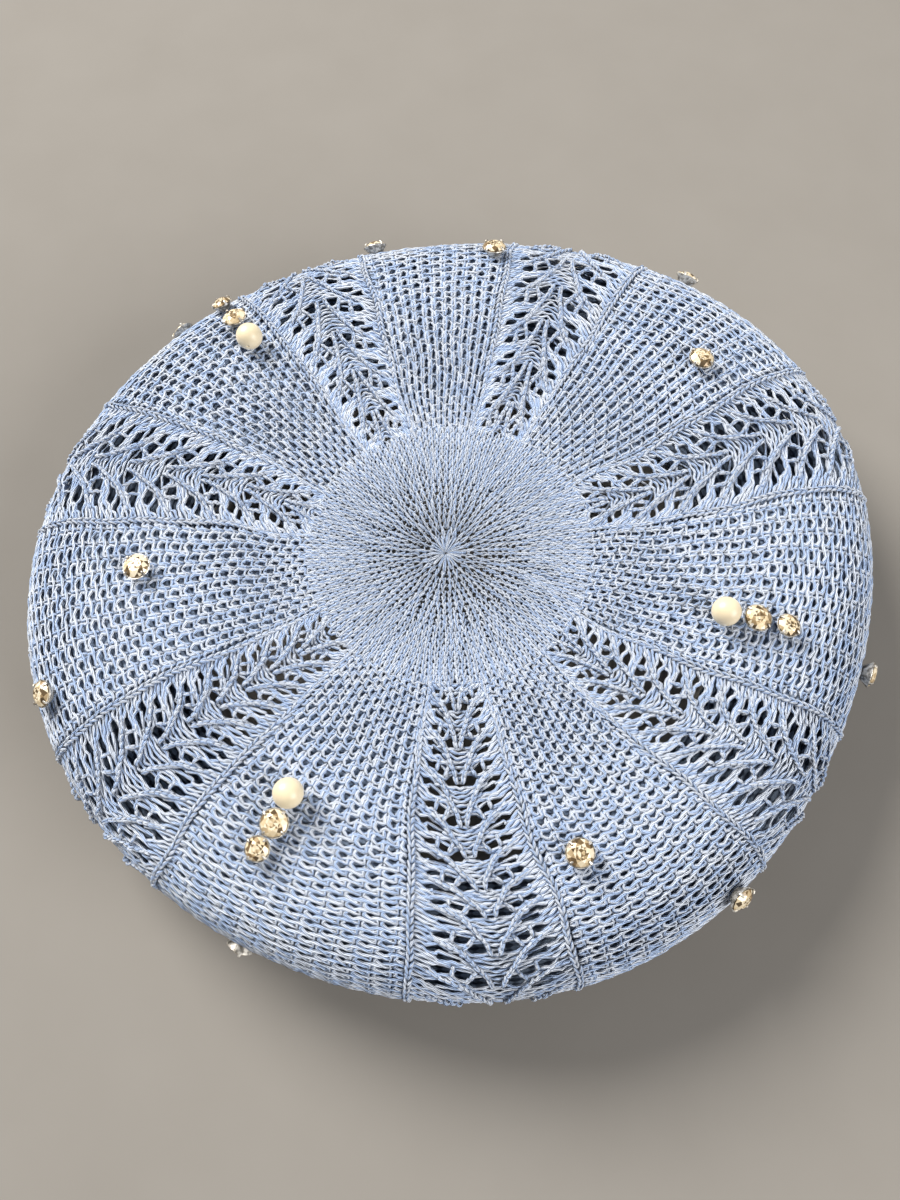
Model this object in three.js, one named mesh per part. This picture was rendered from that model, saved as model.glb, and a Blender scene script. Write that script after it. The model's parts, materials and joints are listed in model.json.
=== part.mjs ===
// A knit beret with seven lace panels, sewn with claw-set stones and pearls, lying on its head band.
// Millimetres, +Z up. The origin is on the resting plane, under the middle of the beret's box.
import * as THREE from "three";

// Crown: its section is a rounded box turned about the gathered middle
const RIM_RADIUS = 140; // mean radius of the widest line
const RIM_HEIGHT = 32; // of the widest line above the resting plane
const CROWN_RISE = 28; // from the widest line up to the gathered middle
const UNDER_DROP = 24; // from the widest line down to the level that the underside curves towards
const CROWN_SQUARENESS = 6.5; // 2 is an ellipse, and a larger number is flatter with a tighter shoulder
const UNDER_SQUARENESS = 4;
const OPENING_SHARE = 0.68; // radius of the head opening as a share of the rim's
const KNIT_WALL = 2.2;
const GATHER = new THREE.Vector2(-3.0, -3.5); // the gathered middle, from the middle of the box
const RIM_DRIFT = new THREE.Vector2(4.0, 6.0); // how far the widest line lies off the gathered middle
const RIM_WAVES = [
  { lobes: 2, cosine: 3.6, sine: 3.3 },
  { lobes: 3, cosine: -1.7, sine: 2.5 },
  { lobes: 4, cosine: -0.4, sine: 0.95 },
];

// Lace panels: angles of their spines in degrees, counted from +X towards +Y
const LACE_ANGLES = [18.6, 69.1, 117.3, 165.3, 218.3, 273.2, 321.9];
const LACE_HALF_WIDTH = 10.4; // degrees, to the crest of the edge chain
const LACE_START = 43.7; // along the knit from the gathered middle
const LACE_END = 146;
const LACE_TIERS = 8;
const TIER_BAR = 0.42; // share of a tier that is solid, the rest of it holds a pair of eyelets
const VEE_DEPTH = 4; // how far a tier's vee points towards the rim at the spine
const CHAIN_HEIGHT = 1.3; // of the raised chain along each lace edge
const LACE_COLUMNS = [
  { across: -1.14, raised: 0, eyelet: false },
  { across: -1.0, raised: 1, eyelet: false },
  { across: -0.86, raised: 0, eyelet: false },
  { across: -0.58, raised: 0, eyelet: true },
  { across: -0.18, raised: 0, eyelet: false },
  { across: 0.18, raised: 0, eyelet: true },
  { across: 0.58, raised: 0, eyelet: false },
  { across: 0.86, raised: 0, eyelet: false },
  { across: 1.0, raised: 1, eyelet: false },
  { across: 1.14, raised: 0, eyelet: false },
];
const OUTSIDE_LACE = Infinity;
const PLAIN_COLUMNS = 2; // between the lace panels
const DISC_ROWS = [21]; // along the knit, inside the lace
const UNDER_ROWS = [153, 165, 183]; // along the knit, from the widest line inwards

// Head band, a ribbed ring linked to the edge of the underside
const BAND_WALL = 3;
const BAND_COLUMNS = 42;
const SEAT_GAP = 0.3; // between pieces that lie on each other

// Ornaments
const PEARL_RADIUS = 4.5;
const PEARL_SEAT = 1.2; // radius of the dimple that it sits in
const PEARL_SIDES = 12;
const PEARL_RINGS = 8;
const STONE_FACETS = 8;
const STONE_SHAPE = { table: 0.56, crown: 0.3, girdle: 0.06, pavilion: 0.6 }; // shares of the stone's radius
const SETTING_FOOT = 0.62; // radius of the foot, a share of the stone's
const SETTING_FLOOR = 0.5; // thickness under the stone's point
const CLAW_ANGLES = [45, 135, 225, 315];
const CLAW_HALF_ANGLE = 12;
// A setting's section over its lip, from its inside: out from the girdle and above it, at claws and between
const SETTING_SECTION = [
  { clawOut: 0.25, clawUp: -0.55, cupOut: 0.25, cupUp: -0.55 },
  { clawOut: 0.3, clawUp: 0.4, cupOut: 0.35, cupUp: -0.35 },
  { clawOut: -0.55, clawUp: 0.9, cupOut: 0.45, cupUp: -0.3 },
  { clawOut: -0.35, clawUp: 1.3, cupOut: 0.65, cupUp: -0.3 },
  { clawOut: 0.75, clawUp: 0.5, cupOut: 0.75, cupUp: -0.5 },
];
const CUTS = {
  large: { radius: 3.65 },
  small: { radius: 3.1 },
};
// The place of each ornament: its plain panel, its angle in degrees, its reach along the knit from the middle
const ORNAMENTS = [
  { name: "single", panel: 1, cut: "large", angle: 38.8, reach: 103.5 },
  { name: "rim", panel: 1, cut: "large", angle: 53, reach: 144 },
  { name: "single", panel: 2, cut: "large", angle: 83.2, reach: 122.3 },
  { name: "rim", panel: 2, cut: "large", angle: 103.5, reach: 143 },
  { name: "trio_pearl", panel: 3, cut: "pearl", angle: 133, reach: 104 },
  { name: "trio_large", panel: 3, cut: "large", angle: 132, reach: 117.5 },
  { name: "trio_small", panel: 3, cut: "small", angle: 131.3, reach: 131 },
  { name: "rim", panel: 3, cut: "large", angle: 137, reach: 150 },
  { name: "single", panel: 4, cut: "large", angle: 185.5, reach: 97 },
  { name: "rim", panel: 4, cut: "large", angle: 200.8, reach: 134 },
  { name: "trio_pearl", panel: 5, cut: "pearl", angle: 239.5, reach: 93.4 },
  { name: "trio_large", panel: 5, cut: "large", angle: 239.9, reach: 102.9 },
  { name: "trio_small", panel: 5, cut: "small", angle: 239.6, reach: 111.7 },
  { name: "rim", panel: 5, cut: "large", angle: 241.5, reach: 158 },
  { name: "single", panel: 6, cut: "large", angle: 289.8, reach: 103.5 },
  { name: "rim", panel: 6, cut: "large", angle: 307.3, reach: 143.5 },
  { name: "trio_pearl", panel: 7, cut: "pearl", angle: 343.2, reach: 87.4 },
  { name: "trio_large", panel: 7, cut: "large", angle: 344, reach: 97.6 },
  { name: "trio_small", panel: 7, cut: "small", angle: 344.2, reach: 107.4 },
  { name: "rim", panel: 7, cut: "large", angle: 344, reach: 149 },
];

const FINISHES = {
  cotton: { color: 0xbec7d6, roughness: 0.9, metalness: 0 },
  crystal: { color: 0xf0dfb4, roughness: 0.08, metalness: 0.2 },
  silver: { color: 0x77736c, roughness: 0.32, metalness: 1 },
  pearl: { color: 0xf3e6c8, roughness: 0.25, metalness: 0 },
};

const radians = THREE.MathUtils.degToRad;

function finish(slot) {
  return new THREE.MeshStandardMaterial({ ...FINISHES[slot], name: slot });
}

// The crown's section as a line of points from the gathered middle to the head opening
function crownSection() {
  const steps = 600;
  const lastTurn = -Math.acos(OPENING_SHARE ** (UNDER_SQUARENESS / 2));
  const points = [];
  for (let i = 0; i <= steps; i++) {
    const turn = THREE.MathUtils.lerp(Math.PI / 2, lastTurn, i / steps);
    const squareness = turn > 0 ? CROWN_SQUARENESS : UNDER_SQUARENESS;
    const share = i === 0 ? 0 : Math.cos(turn) ** (2 / squareness);
    const height = RIM_HEIGHT + (turn > 0 ? CROWN_RISE : UNDER_DROP) * Math.sin(turn);
    const before = points[i - 1];
    const step = before ? Math.hypot(RIM_RADIUS * (share - before.share), height - before.height) : 0;
    points.push({ share, height, reach: before ? before.reach + step : 0 });
  }
  return points;
}

const SECTION = crownSection();
const FULL_REACH = SECTION.at(-1).reach;
const OPENING_HEIGHT = SECTION.at(-1).height;

// Share of the rim's radius and height at a reach along the knit
function sectionAt(reach) {
  const wanted = THREE.MathUtils.clamp(reach, 0, FULL_REACH);
  const next = Math.max(1, SECTION.findIndex((point) => point.reach >= wanted));
  const [a, b] = [SECTION[next - 1], SECTION[next]];
  const part = (wanted - a.reach) / (b.reach - a.reach);
  return {
    share: THREE.MathUtils.lerp(a.share, b.share, part),
    height: THREE.MathUtils.lerp(a.height, b.height, part),
  };
}

// A point of the plan: the rim is a little out of round, and the middle is off its centre
function planPoint(angle, share, height) {
  let radius = RIM_RADIUS * share;
  for (const wave of RIM_WAVES) {
    const swing = wave.cosine * Math.cos(wave.lobes * angle) + wave.sine * Math.sin(wave.lobes * angle);
    radius += share * share * swing;
  }
  return new THREE.Vector3(
    GATHER.x + RIM_DRIFT.x * share + radius * Math.cos(angle),
    GATHER.y + RIM_DRIFT.y * share + radius * Math.sin(angle),
    height,
  );
}

function knitPoint(angle, reach) {
  const { share, height } = sectionAt(reach);
  return planPoint(angle, share, height);
}

// The outward direction of the knit
function knitNormal(angle, reach) {
  if (reach < 1) return new THREE.Vector3(0, 0, 1);
  const turn = 0.01;
  const step = 0.8;
  const last = Math.min(reach + step, FULL_REACH);
  const along = knitPoint(angle, last).sub(knitPoint(angle, last - 2 * step));
  const around = knitPoint(angle + turn, reach).sub(knitPoint(angle - turn, reach));
  return along.cross(around).normalize();
}

// A closed body from triangles of point numbers
function solid(points, triangles) {
  const geometry = new THREE.BufferGeometry();
  geometry.setAttribute("position", new THREE.Float32BufferAttribute(points.flatMap((p) => p.toArray()), 3));
  geometry.setIndex(triangles);
  geometry.computeVertexNormals();
  return geometry;
}

// A closed body from a stack of rings with as many points each, capped by a point at the start and the end
function ringStack(first, rings, last) {
  const count = rings[0].length;
  const points = [first, ...rings.flat(), last];
  const at = (ring, i) => 1 + ring * count + (i % count);
  const triangles = [];
  for (let i = 0; i < count; i++) {
    triangles.push(0, at(0, i), at(0, i + 1));
    for (let ring = 0; ring + 1 < rings.length; ring++) {
      triangles.push(at(ring, i), at(ring + 1, i), at(ring, i + 1));
      triangles.push(at(ring, i + 1), at(ring + 1, i), at(ring + 1, i + 1));
    }
    triangles.push(at(rings.length - 1, i), points.length - 1, at(rings.length - 1, i + 1));
  }
  return solid(points, triangles);
}

// The crown's columns: ten across each lace panel, and a few across the plain panel after it
function crownColumns() {
  const columns = [];
  LACE_ANGLES.forEach((spine, panel) => {
    for (const column of LACE_COLUMNS) {
      columns.push({ ...column, angle: radians(spine + column.across * LACE_HALF_WIDTH) });
    }
    const outermost = LACE_COLUMNS.at(-1).across * LACE_HALF_WIDTH;
    const from = spine + outermost;
    const turn = panel + 1 < LACE_ANGLES.length ? 0 : 360;
    const to = LACE_ANGLES[(panel + 1) % LACE_ANGLES.length] + turn - outermost;
    for (let i = 1; i <= PLAIN_COLUMNS; i++) {
      const angle = radians(THREE.MathUtils.lerp(from, to, i / (PLAIN_COLUMNS + 1)));
      columns.push({ across: OUTSIDE_LACE, raised: 0, eyelet: false, angle });
    }
  });
  return columns;
}

// The crown's rows: a bar and a pair of eyelets for each tier of lace, with plain rows inside and outside
function crownRows() {
  const pitch = (LACE_END - LACE_START) / LACE_TIERS;
  const plain = (reach) => ({ reach, lace: false, eyelet: false });
  const rows = DISC_ROWS.map(plain);
  for (let tier = 0; tier < LACE_TIERS; tier++) {
    rows.push({ reach: LACE_START + tier * pitch, lace: true, eyelet: false });
    rows.push({ reach: LACE_START + (tier + TIER_BAR) * pitch, lace: true, eyelet: true });
  }
  rows.push({ reach: LACE_END, lace: true, eyelet: false });
  return [...rows, ...[...UNDER_ROWS, FULL_REACH].map(plain)];
}

// One knit shell: the outer face, the inner face a wall's thickness below it, and the edges of its openings
function crownGeometry() {
  const columns = crownColumns();
  const rows = crownRows();
  const count = columns.length;
  const innerVee = LACE_COLUMNS[2].across;
  const outer = [];
  const inner = [];
  for (const row of rows) {
    for (const column of columns) {
      const vee = Math.max(0, 1 - Math.abs(column.across / innerVee));
      const reach = row.lace ? row.reach + VEE_DEPTH * vee : row.reach;
      const point = knitPoint(column.angle, reach);
      const normal = knitNormal(column.angle, reach);
      const chain = row.lace ? column.raised * CHAIN_HEIGHT : 0;
      outer.push(point.clone().addScaledVector(normal, chain));
      inner.push(point.clone().addScaledVector(normal, -KNIT_WALL));
    }
  }
  const middle = knitPoint(0, 0);
  const under = middle.clone().setZ(middle.z - KNIT_WALL);
  const points = [...outer, ...inner, middle, under];
  const top = (row, column) => row * count + (column % count);
  const below = (row, column) => outer.length + top(row, column);
  const triangles = [];
  const quad = (a, b, c, d) => triangles.push(a, b, c, a, c, d);
  const last = rows.length - 1;
  for (let j = 0; j < count; j++) {
    triangles.push(points.length - 2, top(0, j), top(0, j + 1));
    triangles.push(points.length - 1, below(0, j + 1), below(0, j));
    for (let i = 0; i < last; i++) {
      if (rows[i].eyelet && columns[j].eyelet) {
        quad(top(i, j), top(i + 1, j), below(i + 1, j), below(i, j));
        quad(top(i + 1, j), top(i + 1, j + 1), below(i + 1, j + 1), below(i + 1, j));
        quad(top(i + 1, j + 1), top(i, j + 1), below(i, j + 1), below(i + 1, j + 1));
        quad(top(i, j + 1), top(i, j), below(i, j), below(i, j + 1));
      } else {
        quad(top(i, j), top(i + 1, j), top(i + 1, j + 1), top(i, j + 1));
        quad(below(i, j), below(i, j + 1), below(i + 1, j + 1), below(i + 1, j));
      }
    }
    quad(top(last, j), below(last, j), below(last, j + 1), top(last, j + 1));
  }
  return solid(points, triangles);
}

// The head band: a wall that follows the head opening, from the resting plane up to the knit's edge
function bandGeometry() {
  const outside = OPENING_SHARE + BAND_WALL / RIM_RADIUS;
  const bandTop = OPENING_HEIGHT - SEAT_GAP;
  const corners = [
    { share: OPENING_SHARE, height: 0 },
    { share: outside, height: 0 },
    { share: outside, height: bandTop },
    { share: OPENING_SHARE, height: bandTop },
  ];
  const points = [];
  const triangles = [];
  const at = (column, corner) => (column % BAND_COLUMNS) * corners.length + (corner % corners.length);
  for (let i = 0; i < BAND_COLUMNS; i++) {
    const angle = (i / BAND_COLUMNS) * 2 * Math.PI;
    for (const corner of corners) points.push(planPoint(angle, corner.share, corner.height));
    for (let k = 0; k < corners.length; k++) {
      triangles.push(at(i, k), at(i + 1, k), at(i + 1, k + 1));
      triangles.push(at(i, k), at(i + 1, k + 1), at(i, k + 1));
    }
  }
  return solid(points, triangles);
}

function ringAt(angles, radius, height) {
  return angles.map((a) => new THREE.Vector3(radius * Math.cos(a), radius * Math.sin(a), height));
}

// A girdle's height above the foot of the setting
function girdleHeight(radius) {
  return SETTING_FLOOR + SEAT_GAP + (STONE_SHAPE.pavilion + STONE_SHAPE.girdle) * radius;
}

// A chaton: a table, a crown of triangles down to the girdle, and a pavilion that comes to a point
function stoneGeometry(radius) {
  const corners = Array.from({ length: STONE_FACETS }, (_, i) => (i / STONE_FACETS) * 2 * Math.PI);
  const between = corners.map((a) => a + Math.PI / STONE_FACETS);
  const girdle = girdleHeight(radius);
  const girdleFoot = girdle - STONE_SHAPE.girdle * radius;
  const table = girdle + STONE_SHAPE.crown * radius;
  const culet = girdleFoot - STONE_SHAPE.pavilion * radius;
  const rings = [
    ringAt(corners, STONE_SHAPE.table * radius, table),
    ringAt(between, radius, girdle),
    ringAt(between, radius, girdleFoot),
  ];
  return ringStack(new THREE.Vector3(0, 0, table), rings, new THREE.Vector3(0, 0, culet));
}

// A claw setting: a cup under the girdle with four claws bent over the stone's crown
function settingGeometry(radius) {
  const girdle = girdleHeight(radius);
  const betweenClaws = 180 / CLAW_ANGLES.length;
  const columns = CLAW_ANGLES.flatMap((claw) => [
    { angle: radians(claw - CLAW_HALF_ANGLE), isClaw: true },
    { angle: radians(claw + CLAW_HALF_ANGLE), isClaw: true },
    { angle: radians(claw + betweenClaws), isClaw: false },
  ]);
  const rings = SETTING_SECTION.map(({ clawOut, clawUp, cupOut, cupUp }) =>
    columns.map(({ angle, isClaw }) => {
      const ring = radius + (isClaw ? clawOut : cupOut);
      const height = girdle + (isClaw ? clawUp : cupUp);
      return new THREE.Vector3(ring * Math.cos(angle), ring * Math.sin(angle), height);
    }),
  );
  const angles = columns.map(({ angle }) => angle);
  rings.push(ringAt(angles, SETTING_FOOT * radius, 0));
  return ringStack(new THREE.Vector3(0, 0, SETTING_FLOOR), rings, new THREE.Vector3(0, 0, 0));
}

// A frame on the knit, its +Z outwards, lifted until a round foot clears the knit by the seat gap
function seatOnKnit(crown, place, footRadius) {
  const angle = radians(place.angle);
  const seat = new THREE.Group();
  const normal = knitNormal(angle, place.reach);
  seat.quaternion.setFromUnitVectors(new THREE.Vector3(0, 0, 1), normal);
  const point = knitPoint(angle, place.reach);
  const above = 12; // the height that the clearance is measured from
  const samples = Array.from({ length: 12 }, (_, i) => (i / 12) * 2 * Math.PI);
  const foot = [new THREE.Vector3(), ...ringAt(samples, footRadius, 0)];
  const raycaster = new THREE.Raycaster();
  let nearest = Infinity;
  for (const offset of foot) {
    const origin = offset.applyQuaternion(seat.quaternion).add(point).addScaledVector(normal, above);
    raycaster.set(origin, normal.clone().negate());
    const [hit] = raycaster.intersectObject(crown);
    nearest = Math.min(nearest, hit.distance);
  }
  seat.position.copy(point).addScaledVector(normal, above - nearest + SEAT_GAP);
  return seat;
}

function named(name, geometry, slot) {
  const mesh = new THREE.Mesh(geometry, finish(slot));
  mesh.name = name;
  return mesh;
}

const beret = new THREE.Group();
beret.name = "knit_beret";

const crown = named("crown", crownGeometry(), "cotton");
crown.updateMatrixWorld(true);
beret.add(crown);
beret.add(named("head_band", bandGeometry(), "cotton"));

for (const place of ORNAMENTS) {
  if (place.cut === "pearl") {
    const seat = seatOnKnit(crown, place, PEARL_SEAT);
    const bead = new THREE.SphereGeometry(PEARL_RADIUS, PEARL_SIDES, PEARL_RINGS);
    const pearl = named(`${place.name}_${place.panel}`, bead, "pearl");
    pearl.position.z = PEARL_RADIUS;
    seat.add(pearl);
    beret.add(seat);
    continue;
  }
  const { radius } = CUTS[place.cut];
  const seat = seatOnKnit(crown, place, SETTING_FOOT * radius);
  seat.add(named(`${place.name}_setting_${place.panel}`, settingGeometry(radius), "silver"));
  seat.add(named(`${place.name}_stone_${place.panel}`, stoneGeometry(radius), "crystal"));
  beret.add(seat);
}

export default beret;
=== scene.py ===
"""Looks of a knit cotton beret with fern lace panels, sewn-on stones and pearls, around its CAD frame."""

from __future__ import annotations

import json
import logging
import math
from dataclasses import dataclass, field, replace
from enum import Enum, IntEnum
from functools import cached_property
from typing import Any

import bmesh
import bpy
import numpy as np
from mathutils import Matrix, Vector

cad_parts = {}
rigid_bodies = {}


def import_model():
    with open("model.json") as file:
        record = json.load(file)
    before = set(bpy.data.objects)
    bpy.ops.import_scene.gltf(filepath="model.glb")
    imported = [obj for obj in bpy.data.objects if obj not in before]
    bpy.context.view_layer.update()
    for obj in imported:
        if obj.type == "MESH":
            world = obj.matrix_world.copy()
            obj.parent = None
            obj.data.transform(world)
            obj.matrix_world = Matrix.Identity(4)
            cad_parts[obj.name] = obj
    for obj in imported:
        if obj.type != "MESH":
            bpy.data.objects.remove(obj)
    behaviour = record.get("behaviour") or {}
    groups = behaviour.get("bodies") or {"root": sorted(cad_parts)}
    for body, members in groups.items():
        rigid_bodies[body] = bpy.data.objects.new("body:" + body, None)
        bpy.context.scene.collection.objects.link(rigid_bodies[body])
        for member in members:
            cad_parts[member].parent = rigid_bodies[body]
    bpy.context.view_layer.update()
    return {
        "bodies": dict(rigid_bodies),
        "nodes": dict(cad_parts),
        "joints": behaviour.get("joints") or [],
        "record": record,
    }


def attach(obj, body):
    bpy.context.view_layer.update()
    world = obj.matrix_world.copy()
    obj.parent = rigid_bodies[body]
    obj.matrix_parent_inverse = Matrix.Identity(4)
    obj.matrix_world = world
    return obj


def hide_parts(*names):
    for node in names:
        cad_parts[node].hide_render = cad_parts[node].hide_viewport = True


LOG = logging.getLogger("beret")
MM = 0.001
MERGE = 1e-6  # metres within which vertices become one
SEED = 20
TURN = 2 * math.pi
SIDES = (-1, 1)
Array = np.ndarray
Row = tuple[float, ...]


class Slot(Enum):
    """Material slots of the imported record."""

    COTTON = "cotton"
    CRYSTAL = "crystal"
    SILVER = "silver"
    PEARL = "pearl"


class Drift(IntEnum):
    """The slow drifts of the knit, each drawn with its own seed."""

    DISC_ROUND = 1
    DISC_ALONG = 2
    PLAIN_ROUND = 3
    PLAIN_ALONG = 4
    STRAND = 5
    EDGE = 6


def unit(vectors: Array) -> Array:
    """Vectors made one long."""
    return vectors / np.maximum(np.linalg.norm(vectors, axis=-1, keepdims=True), 1e-12)


def smoothed(line: Array, beside: int, **padding: Any) -> Array:
    """Values of a line, each averaged with its neighbours.

    Args:
        line: The values.
        beside: How many neighbours count on each side.
        padding: How the line goes on past its ends, as np.pad takes it.

    Returns:
        The averaged values.
    """
    span = 2 * beside + 1
    return np.convolve(np.pad(line, beside, **padding), np.full(span, 1 / span), mode="valid")


def cut_off(bm: bmesh.types.BMesh, point: Vector, normal: Vector) -> bmesh.types.BMFace:
    """Cuts away what is past a plane and closes the cut.

    Args:
        bm: The shape.
        point: A point of the plane.
        normal: Its direction, towards what goes.

    Returns:
        The new flat face.
    """
    geom = [*bm.verts, *bm.edges, *bm.faces]
    cut = bmesh.ops.bisect_plane(
        bm, geom=geom, dist=1e-8, plane_co=point, plane_no=normal, clear_outer=True
    )
    edges = [e for e in cut["geom_cut"] if isinstance(e, bmesh.types.BMEdge)]
    return bmesh.ops.contextual_create(bm, geom=edges)["faces"][0]


def finished(
    name: str, bm: bmesh.types.BMesh, frame: Matrix, material: bpy.types.Material, smooth: bool
) -> bpy.types.Object:
    """Turns a bmesh into an object at the origin, its place in its vertices.

    Args:
        name: The object's name.
        bm: The shape, in its own frame; it is freed.
        frame: Where it goes in the row frame.
        material: Its material.
        smooth: Whether its faces are shaded smooth.

    Returns:
        The new object.
    """
    bmesh.ops.transform(bm, matrix=frame, verts=bm.verts[:])
    for face in bm.faces:
        face.smooth = smooth
    mesh = bpy.data.meshes.new(name)
    bm.to_mesh(mesh)
    bm.free()
    mesh.materials.append(material)
    made = bpy.data.objects.new(name, mesh)
    bpy.context.scene.collection.objects.link(made)
    return made


class Value:
    """A shader socket that carries a number, so that maths on it reads as plain Python."""

    def __init__(self, shader: Shader, socket: bpy.types.NodeSocket) -> None:
        """Keeps the node tree's builder and one of its output sockets."""
        self.shader = shader
        self.socket = socket

    def _with(self, operation: str, *others: Any) -> Value:
        """A Math node on this value and others."""
        return self.shader.maths(operation, self, *others)

    def __add__(self, other: Any) -> Value:
        """self + other."""
        return self._with("ADD", other)

    __radd__ = __add__

    def __sub__(self, other: Any) -> Value:
        """self - other."""
        return self._with("SUBTRACT", other)

    def __rsub__(self, other: Any) -> Value:
        """other - self."""
        return self.shader.maths("SUBTRACT", other, self)

    def __mul__(self, other: Any) -> Value:
        """self * other."""
        return self._with("MULTIPLY", other)

    __rmul__ = __mul__

    def __truediv__(self, other: Any) -> Value:
        """self / other."""
        return self._with("DIVIDE", other)

    def __abs__(self) -> Value:
        """The size of the value."""
        return self._with("ABSOLUTE")

    def peak(self) -> Value:
        """1 at each whole number and 0 halfway between two of them."""
        return abs(self._with("FRACT") - 0.5) * 2

    def step(self, low: float, high: float) -> Value:
        """A smooth step.

        Args:
            low: Up to where it is 0.
            high: From where it is 1.

        Returns:
            The stepped value.
        """
        node = self.shader.node(
            "ShaderNodeMapRange",
            {"interpolation_type": "SMOOTHSTEP"},
            {"Value": self, "From Min": low, "From Max": high},
        )
        return Value(self.shader, node.outputs["Result"])


class Shader:
    """One material and the nodes that make its looks."""

    def __init__(self, name: str) -> None:
        """Starts a material with a Principled surface.

        Args:
            name: Its name.
        """
        self.material = bpy.data.materials.new(name)
        self.material.use_nodes = True
        self.tree = self.material.node_tree
        self.surface = self.tree.nodes["Principled BSDF"]

    def node(self, kind: str, settings: dict[str, Any], sockets: dict[str, Any]) -> bpy.types.Node:
        """Adds a node.

        Args:
            kind: The node's type.
            settings: Its own properties, set first.
            sockets: Values or links for its inputs, by name or number.

        Returns:
            The new node.
        """
        made = self.tree.nodes.new(kind)
        for name, value in settings.items():
            setattr(made, name, value)
        for name, value in sockets.items():
            self.feed(made.inputs[name], value)
        return made

    def feed(self, target: bpy.types.NodeSocket, value: Any) -> None:
        """Links an input or sets it.

        Args:
            target: The input.
            value: A Value or a socket to link, or a plain value to set.
        """
        if isinstance(value, Value):
            value = value.socket
        if isinstance(value, bpy.types.NodeSocket):
            self.tree.links.new(value, target)
        else:
            target.default_value = value

    def maths(self, operation: str, *values: Any) -> Value:
        """A Math node on numbers and Values."""
        made = self.node("ShaderNodeMath", {"operation": operation}, dict(enumerate(values)))
        return Value(self, made.outputs[0])

    def mix(self, share: Any, first: Any, second: Any) -> bpy.types.NodeSocket:
        """Two colours mixed, all of the second where share is 1."""
        made = self.node("ShaderNodeMix", {"data_type": "RGBA"}, {0: share, 6: first, 7: second})
        return made.outputs[2]

    def noise(self, scale: float, detail: float, where: bpy.types.NodeSocket) -> Value:
        """Soft noise from 0 to 1."""
        sockets = {"Scale": scale, "Detail": detail, "Vector": where}
        return Value(self, self.node("ShaderNodeTexNoise", {}, sockets).outputs[0])

    def place(self) -> bpy.types.NodeSocket:
        """The piece's own coordinates, in metres."""
        return self.node("ShaderNodeTexCoord", {}, {}).outputs["Object"]

    def chart(self, name: str) -> list[Value]:
        """Both ways of one of the piece's UV maps."""
        where = self.node("ShaderNodeUVMap", {"uv_map": name}, {}).outputs[0]
        split = self.node("ShaderNodeSeparateXYZ", {}, {0: where})
        return [Value(self, socket) for socket in split.outputs[:2]]

    def bump(self, height: Value, depth: float) -> bpy.types.NodeSocket:
        """A normal from a height, its depth in millimetres."""
        sockets = {"Height": height, "Strength": 1.0, "Distance": depth * MM}
        return self.node("ShaderNodeBump", {}, sockets).outputs["Normal"]

    def dress(self, **inputs: Any) -> bpy.types.Material:
        """Feeds the surface's inputs, underscores for spaces, and gives the material."""
        for name, value in inputs.items():
            self.feed(self.surface.inputs[name.replace("_", " ")], value)
        return self.material


@dataclass(frozen=True)
class MarlCotton:
    """Plied cotton yarn: pale blue and near-white plies, with painted shade darkening the grooves between
    them.
    """

    blue: Row = (0.355, 0.51, 0.81, 1)
    white: Row = (0.785, 0.835, 0.915, 1)
    # the colour of the painted shade in the grooves between the plies
    groove_shade: Row = (0.06, 0.09, 0.185, 1)
    plies: int = 5
    lay: float = 15.0  # mm of yarn for one turn of its twist
    fleck: float = 2600.0  # noise scale of the fibres, per metre
    drift: float = 45.0  # noise scale of the slow change in tone, per metre
    ply_share: float = 0.75  # of the tone that the plies decide; the slow change decides the rest
    fleck_share: float = 0.5  # how white the palest fibres are
    groove_shade_share: float = 0.8  # how dark the painted shade in the grooves is
    relief: float = 0.22  # mm

    def material(self) -> bpy.types.Material:
        """The yarn's material, which reads the way along and round the yarn from its Yarn map.

        Returns:
            The material.
        """
        shader = Shader("marl_cotton")
        along, around = shader.chart("Yarn")
        place = shader.place()
        ply = (along / self.lay + around) * self.plies
        seam = ply.peak()
        pale = (ply / self.plies).peak().step(0.24, 0.6)
        fibre = shader.noise(self.fleck, 2, place)
        cloud = shader.noise(self.drift, 2, place)
        tone = shader.mix(pale * self.ply_share + cloud * (1 - self.ply_share), self.blue, self.white)
        flecked = shader.mix(fibre.step(0.52, 0.75) * self.fleck_share, tone, self.white)
        return shader.dress(
            # painted shade darkens the grooves between the plies
            Base_Color=shader.mix(seam.step(0.5, 1.0) * self.groove_shade_share, flecked, self.groove_shade),
            Roughness=0.78 + fibre * 0.2,
            Normal=shader.bump((1 - seam * seam) + fibre * 0.35, self.relief),
            Sheen_Weight=0.2,
            Sheen_Roughness=0.6,
            Specular_IOR_Level=0.25,
        )


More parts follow.
